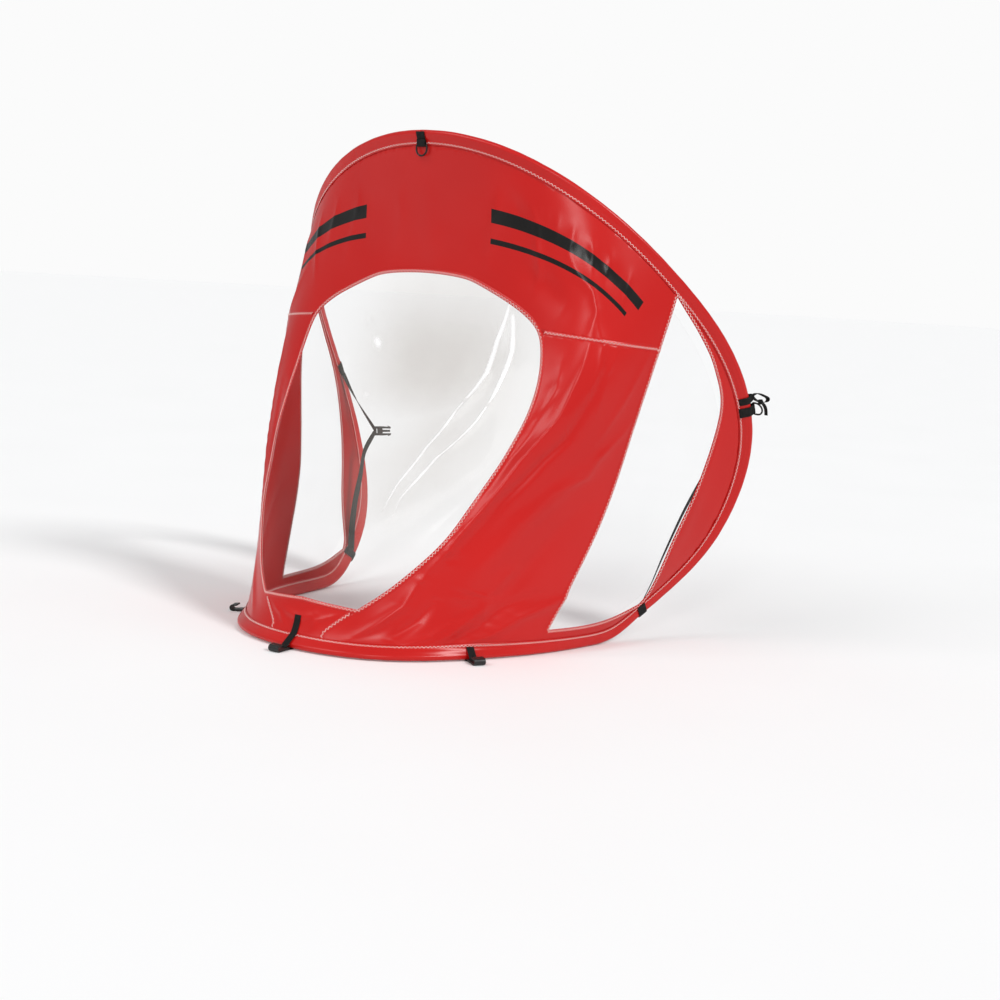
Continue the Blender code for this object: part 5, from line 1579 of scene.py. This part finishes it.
def make_straps(upper, lower):
    """Slack straps inside the hood: the right one carries the buckle."""
    head = leg_stops(*upper)
    foot = leg_stops(*lower)
    top = head[1][0]
    bottom = foot[0][0]
    sag_way = Vector(SAG_SHARES)
    bar = Vector(BUCKLE_BAR_SHARES).normalized()
    prong = Vector(BUCKLE_PRONG_SHARES)
    prong = (prong - bar * prong.dot(bar)).normalized()

    def hang(place, sag):
        return top.lerp(bottom, place[0]) + sag_way * place[1] * sag

    def stops(places, sag, start, end):
        count = len(places) + 1
        return [(hang(place, sag), start.lerp(end, (step + 1) / count))
                for step, place in enumerate(places)]

    centre = hang(BUCKLE_PLACE_SHARES, STRAP_SAG)
    thick = bar.cross(prong)
    bend = []
    for step in range(-1, BUCKLE_BENDS + 2):
        angle = BUCKLE_WRAP * (2 * min(max(step, 0), BUCKLE_BENDS) / BUCKLE_BENDS - 1)
        spot = centre + (prong * math.cos(angle) + thick * math.sin(angle)) * BUCKLE_LOOP
        leave = (thick * math.cos(angle) - prong * math.sin(angle)) * BUCKLE_LOOP * 2
        if step < 0:
            spot -= leave
        if step > BUCKLE_BENDS:
            spot += leave
        bend.append((spot, bar))
    first = [head[1], *stops(STRAP_UPPER_SHARES, STRAP_SAG, head[1][1], bar), bend[0]]
    last = [bend[-1], *stops(STRAP_LOWER_SHARES, STRAP_SAG, bar, foot[0][1]), foot[0]]
    route = [head[0], *smoothed(first), *bend[1:-1], *smoothed(last), foot[1]]
    add_webbing("right_side_strap", route, NARROW_WEBBING, mirror=True)
    middle = stops(PLAIN_STRAP_SHARES, STRAP_TAIL_SAG, head[1][1], foot[0][1])
    plain = [head[0], *smoothed([head[1], *middle, foot[0]]), foot[1]]
    add_webbing("left_side_strap", plain, NARROW_WEBBING)
    make_buckle(centre, bar, prong)


def make_buckle(centre, bar, prong):
    """Male half of a side release buckle: ladder bar, body and three prongs."""
    room = NARROW_WEBBING / 2 + HOOK_LOOP_ROOM
    half = room + BUCKLE_RAIL
    rear = -BUCKLE_BAR / 2
    slot_end = BUCKLE_BAR / 2 + BUCKLE_SLOT
    front = slot_end + BUCKLE_BODY
    tip = front + PRONG_LENGTH
    barb = tip - 2 * PRONG_WIDTH
    side = [
        (rear, half), (front, half), (barb, half - PRONG_BARB / 2), (barb, half + PRONG_BARB),
        (tip, half - PRONG_BARB), (tip, half - PRONG_WIDTH), (front, half - PRONG_WIDTH)]
    guide = tip - PRONG_WIDTH / 2
    middle = [(front, PRONG_WIDTH / 2), (guide, PRONG_WIDTH / 3)]
    upper = side + middle
    outline = upper + [(x, -y) for x, y in reversed(upper)]
    slot = [(-rear, room), (slot_end, room), (slot_end, -room), (-rear, -room)]
    buckle = plate("right_side_buckle_plastic", [outline, slot], BUCKLE_THICKNESS)
    set_down(buckle, framed(centre, prong, bar, prong.cross(bar)), mirror=True)
    round_edges(buckle, BUCKLE_EDGE)
    dress(buckle, "right_side_buckle", ("right_side_buckle",))


def make_tie_strap():
    """Tie strap of the left side: a wrap round the rim, a bow, a knot and a tail."""
    station = Station(TIE_STRAP_SHARE)
    end = Vector((-BEAD_LAP - TIE_ROOT * KNOT_SHARE, 0))
    line = wrap_line(station, station.place(*end), TIE_LOOP, SIDE_TAB_RUN * KNOT_SHARE)
    aft = Vector((-math.cos(TIE_TURN), math.sin(TIE_TURN), 0))
    third = aft.cross(UP)
    root = station.place(*end)

    def lay(shares, twist):
        flat = through([Vector(point) * KNOT_SIZE for point in shares], TIE_STEPS)
        route = []
        for index, point in enumerate(flat):
            lean = twist * math.sin(math.pi * index / (len(flat) - 1))
            side = (third + UP * lean).normalized()
            route.append((root + aft * point.x + UP * point.y, side))
        return route

    add_webbing("left_tie_strap", planar(station, line), NARROW_WEBBING)
    bow = lay((*BOW_SHARES, BOW_SHARES[0]), BOW_TWIST)
    tail = lay(TAIL_SHARES, TAIL_TWIST)
    pieces = [webbing("left_tie_bow", bow, BOW_WEBBING),
              webbing("left_tie_tail", tail, BOW_WEBBING * KNOT_SHARE)]
    for name, place, size in (("left_tie_knot", TAIL_SHARES[0], KNOT_SIZE),
                              ("left_tie_root", (0, 0), TIE_ROOT)):
        middle = root + aft * place[0] * KNOT_SIZE + UP * place[1] * KNOT_SIZE
        reach = size * KNOT_SHARE / 2
        route = []
        for step in range(KNOT_STEPS + 1):
            share = step / KNOT_STEPS
            angle = math.tau * share * KNOT_TURNS
            spot = (middle + aft * math.cos(angle) * reach * KNOT_DEPTH
                    + third * math.sin(angle) * reach + UP * (share - 0.5) * reach * KNOT_CLIMB)
            route.append((spot, UP))
        pieces.append(webbing(name, route, size * KNOT_SHARE * KNOT_WEBBING,
                              WEBBING_THICKNESS * KNOT_WEBBING_THICKNESS, KNOT_WEBBING_STEP))
        core = []
        for step in range(CORE_ROWS + 1):
            share = step / CORE_ROWS
            width = max(math.sin(math.pi * share) ** 0.5, CORE_LEAST_WIDTH) * CORE_REACH
            turns = [math.tau * corner / CORE_SIDES for corner in range(CORE_SIDES)]
            core.append([middle + UP * (share - 0.5) * size * KNOT_WEBBING
                         + (aft * math.cos(turn) * CORE_DEPTH + third * math.sin(turn))
                         * reach * width for turn in turns])
        uvs = [(point.x + point.y, point.z) for row in core for point in row]
        pieces.append(skin_mesh(f"{name}_core", core, WEBBING, uvs))
    for piece in pieces:
        dress(piece)


# Studio

def make_studio():
    mesh = bpy.data.meshes.new("floor")
    with edited(mesh) as work:
        bmesh.ops.create_circle(work, cap_ends=True, segments=FLOOR_SIDES, radius=FLOOR_RADIUS)
    mesh.materials.append(FLOOR)
    floor = add_object("floor", mesh)
    floor.location.z = -FLOOR_DROP

    scene = bpy.context.scene
    world = bpy.data.worlds.new("studio")
    world.use_nodes = True
    tree = world.node_tree
    room = tree.nodes["Background"]
    wall = tree.nodes.new("ShaderNodeBackground")
    path = tree.nodes.new("ShaderNodeLightPath")
    mix = tree.nodes.new("ShaderNodeMixShader")
    tree.links.new(path.outputs["Is Camera Ray"], mix.inputs["Fac"])
    for index, shader, colour, strength in ((1, room, ROOM_COLOUR, ROOM_LIGHT),
                                            (2, wall, WALL_COLOUR, WALL_LIGHT)):
        shader.inputs["Color"].default_value = colour
        shader.inputs["Strength"].default_value = strength
        tree.links.new(shader.outputs["Background"], mix.inputs[index])
    tree.links.new(mix.outputs["Shader"], tree.nodes["World Output"].inputs["Surface"])
    scene.world = world

    for name, place, power, spread_angle in LAMPS:
        lamp = bpy.data.lights.new(name, "SUN")
        lamp.energy = power
        lamp.angle = spread_angle
        item = add_object(name, lamp)
        item.rotation_mode = "QUATERNION"
        item.rotation_quaternion = (-Vector(place)).to_track_quat("-Z", "Y")

    data = bpy.data.cameras.new("camera")
    data.lens = CAMERA_LENS
    data.sensor_width = CAMERA_SENSOR
    data.clip_start = CAMERA_CLIP_START
    data.clip_end = CAMERA_CLIP_END
    camera = add_object("camera", data)
    camera.matrix_world = framed(Vector(CAMERA_PLACE), Vector(CAMERA_RIGHT), Vector(CAMERA_UP),
                                 -Vector(CAMERA_LOOK))
    scene.camera = camera
    scene.view_settings.view_transform = "Standard"
    scene.view_settings.look = "None"
    scene.view_settings.exposure = 0.0


def main():
    cloth = make_cloth()
    windows = make_windows()
    going = make_seams(cloth, windows)
    sleeves = make_sleeves()
    stitches = make_rim_stitches()
    make_webbing()
    for side, stitch in stitches.items():
        going[sleeves[f"{side}_upper_sleeve"].name] = [stitch]
    for node, material in (("hoop_rod", ROD), ("hoop_ferrule", BRASS)):
        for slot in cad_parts[node].material_slots:
            slot.material = material
    make_studio()


main()
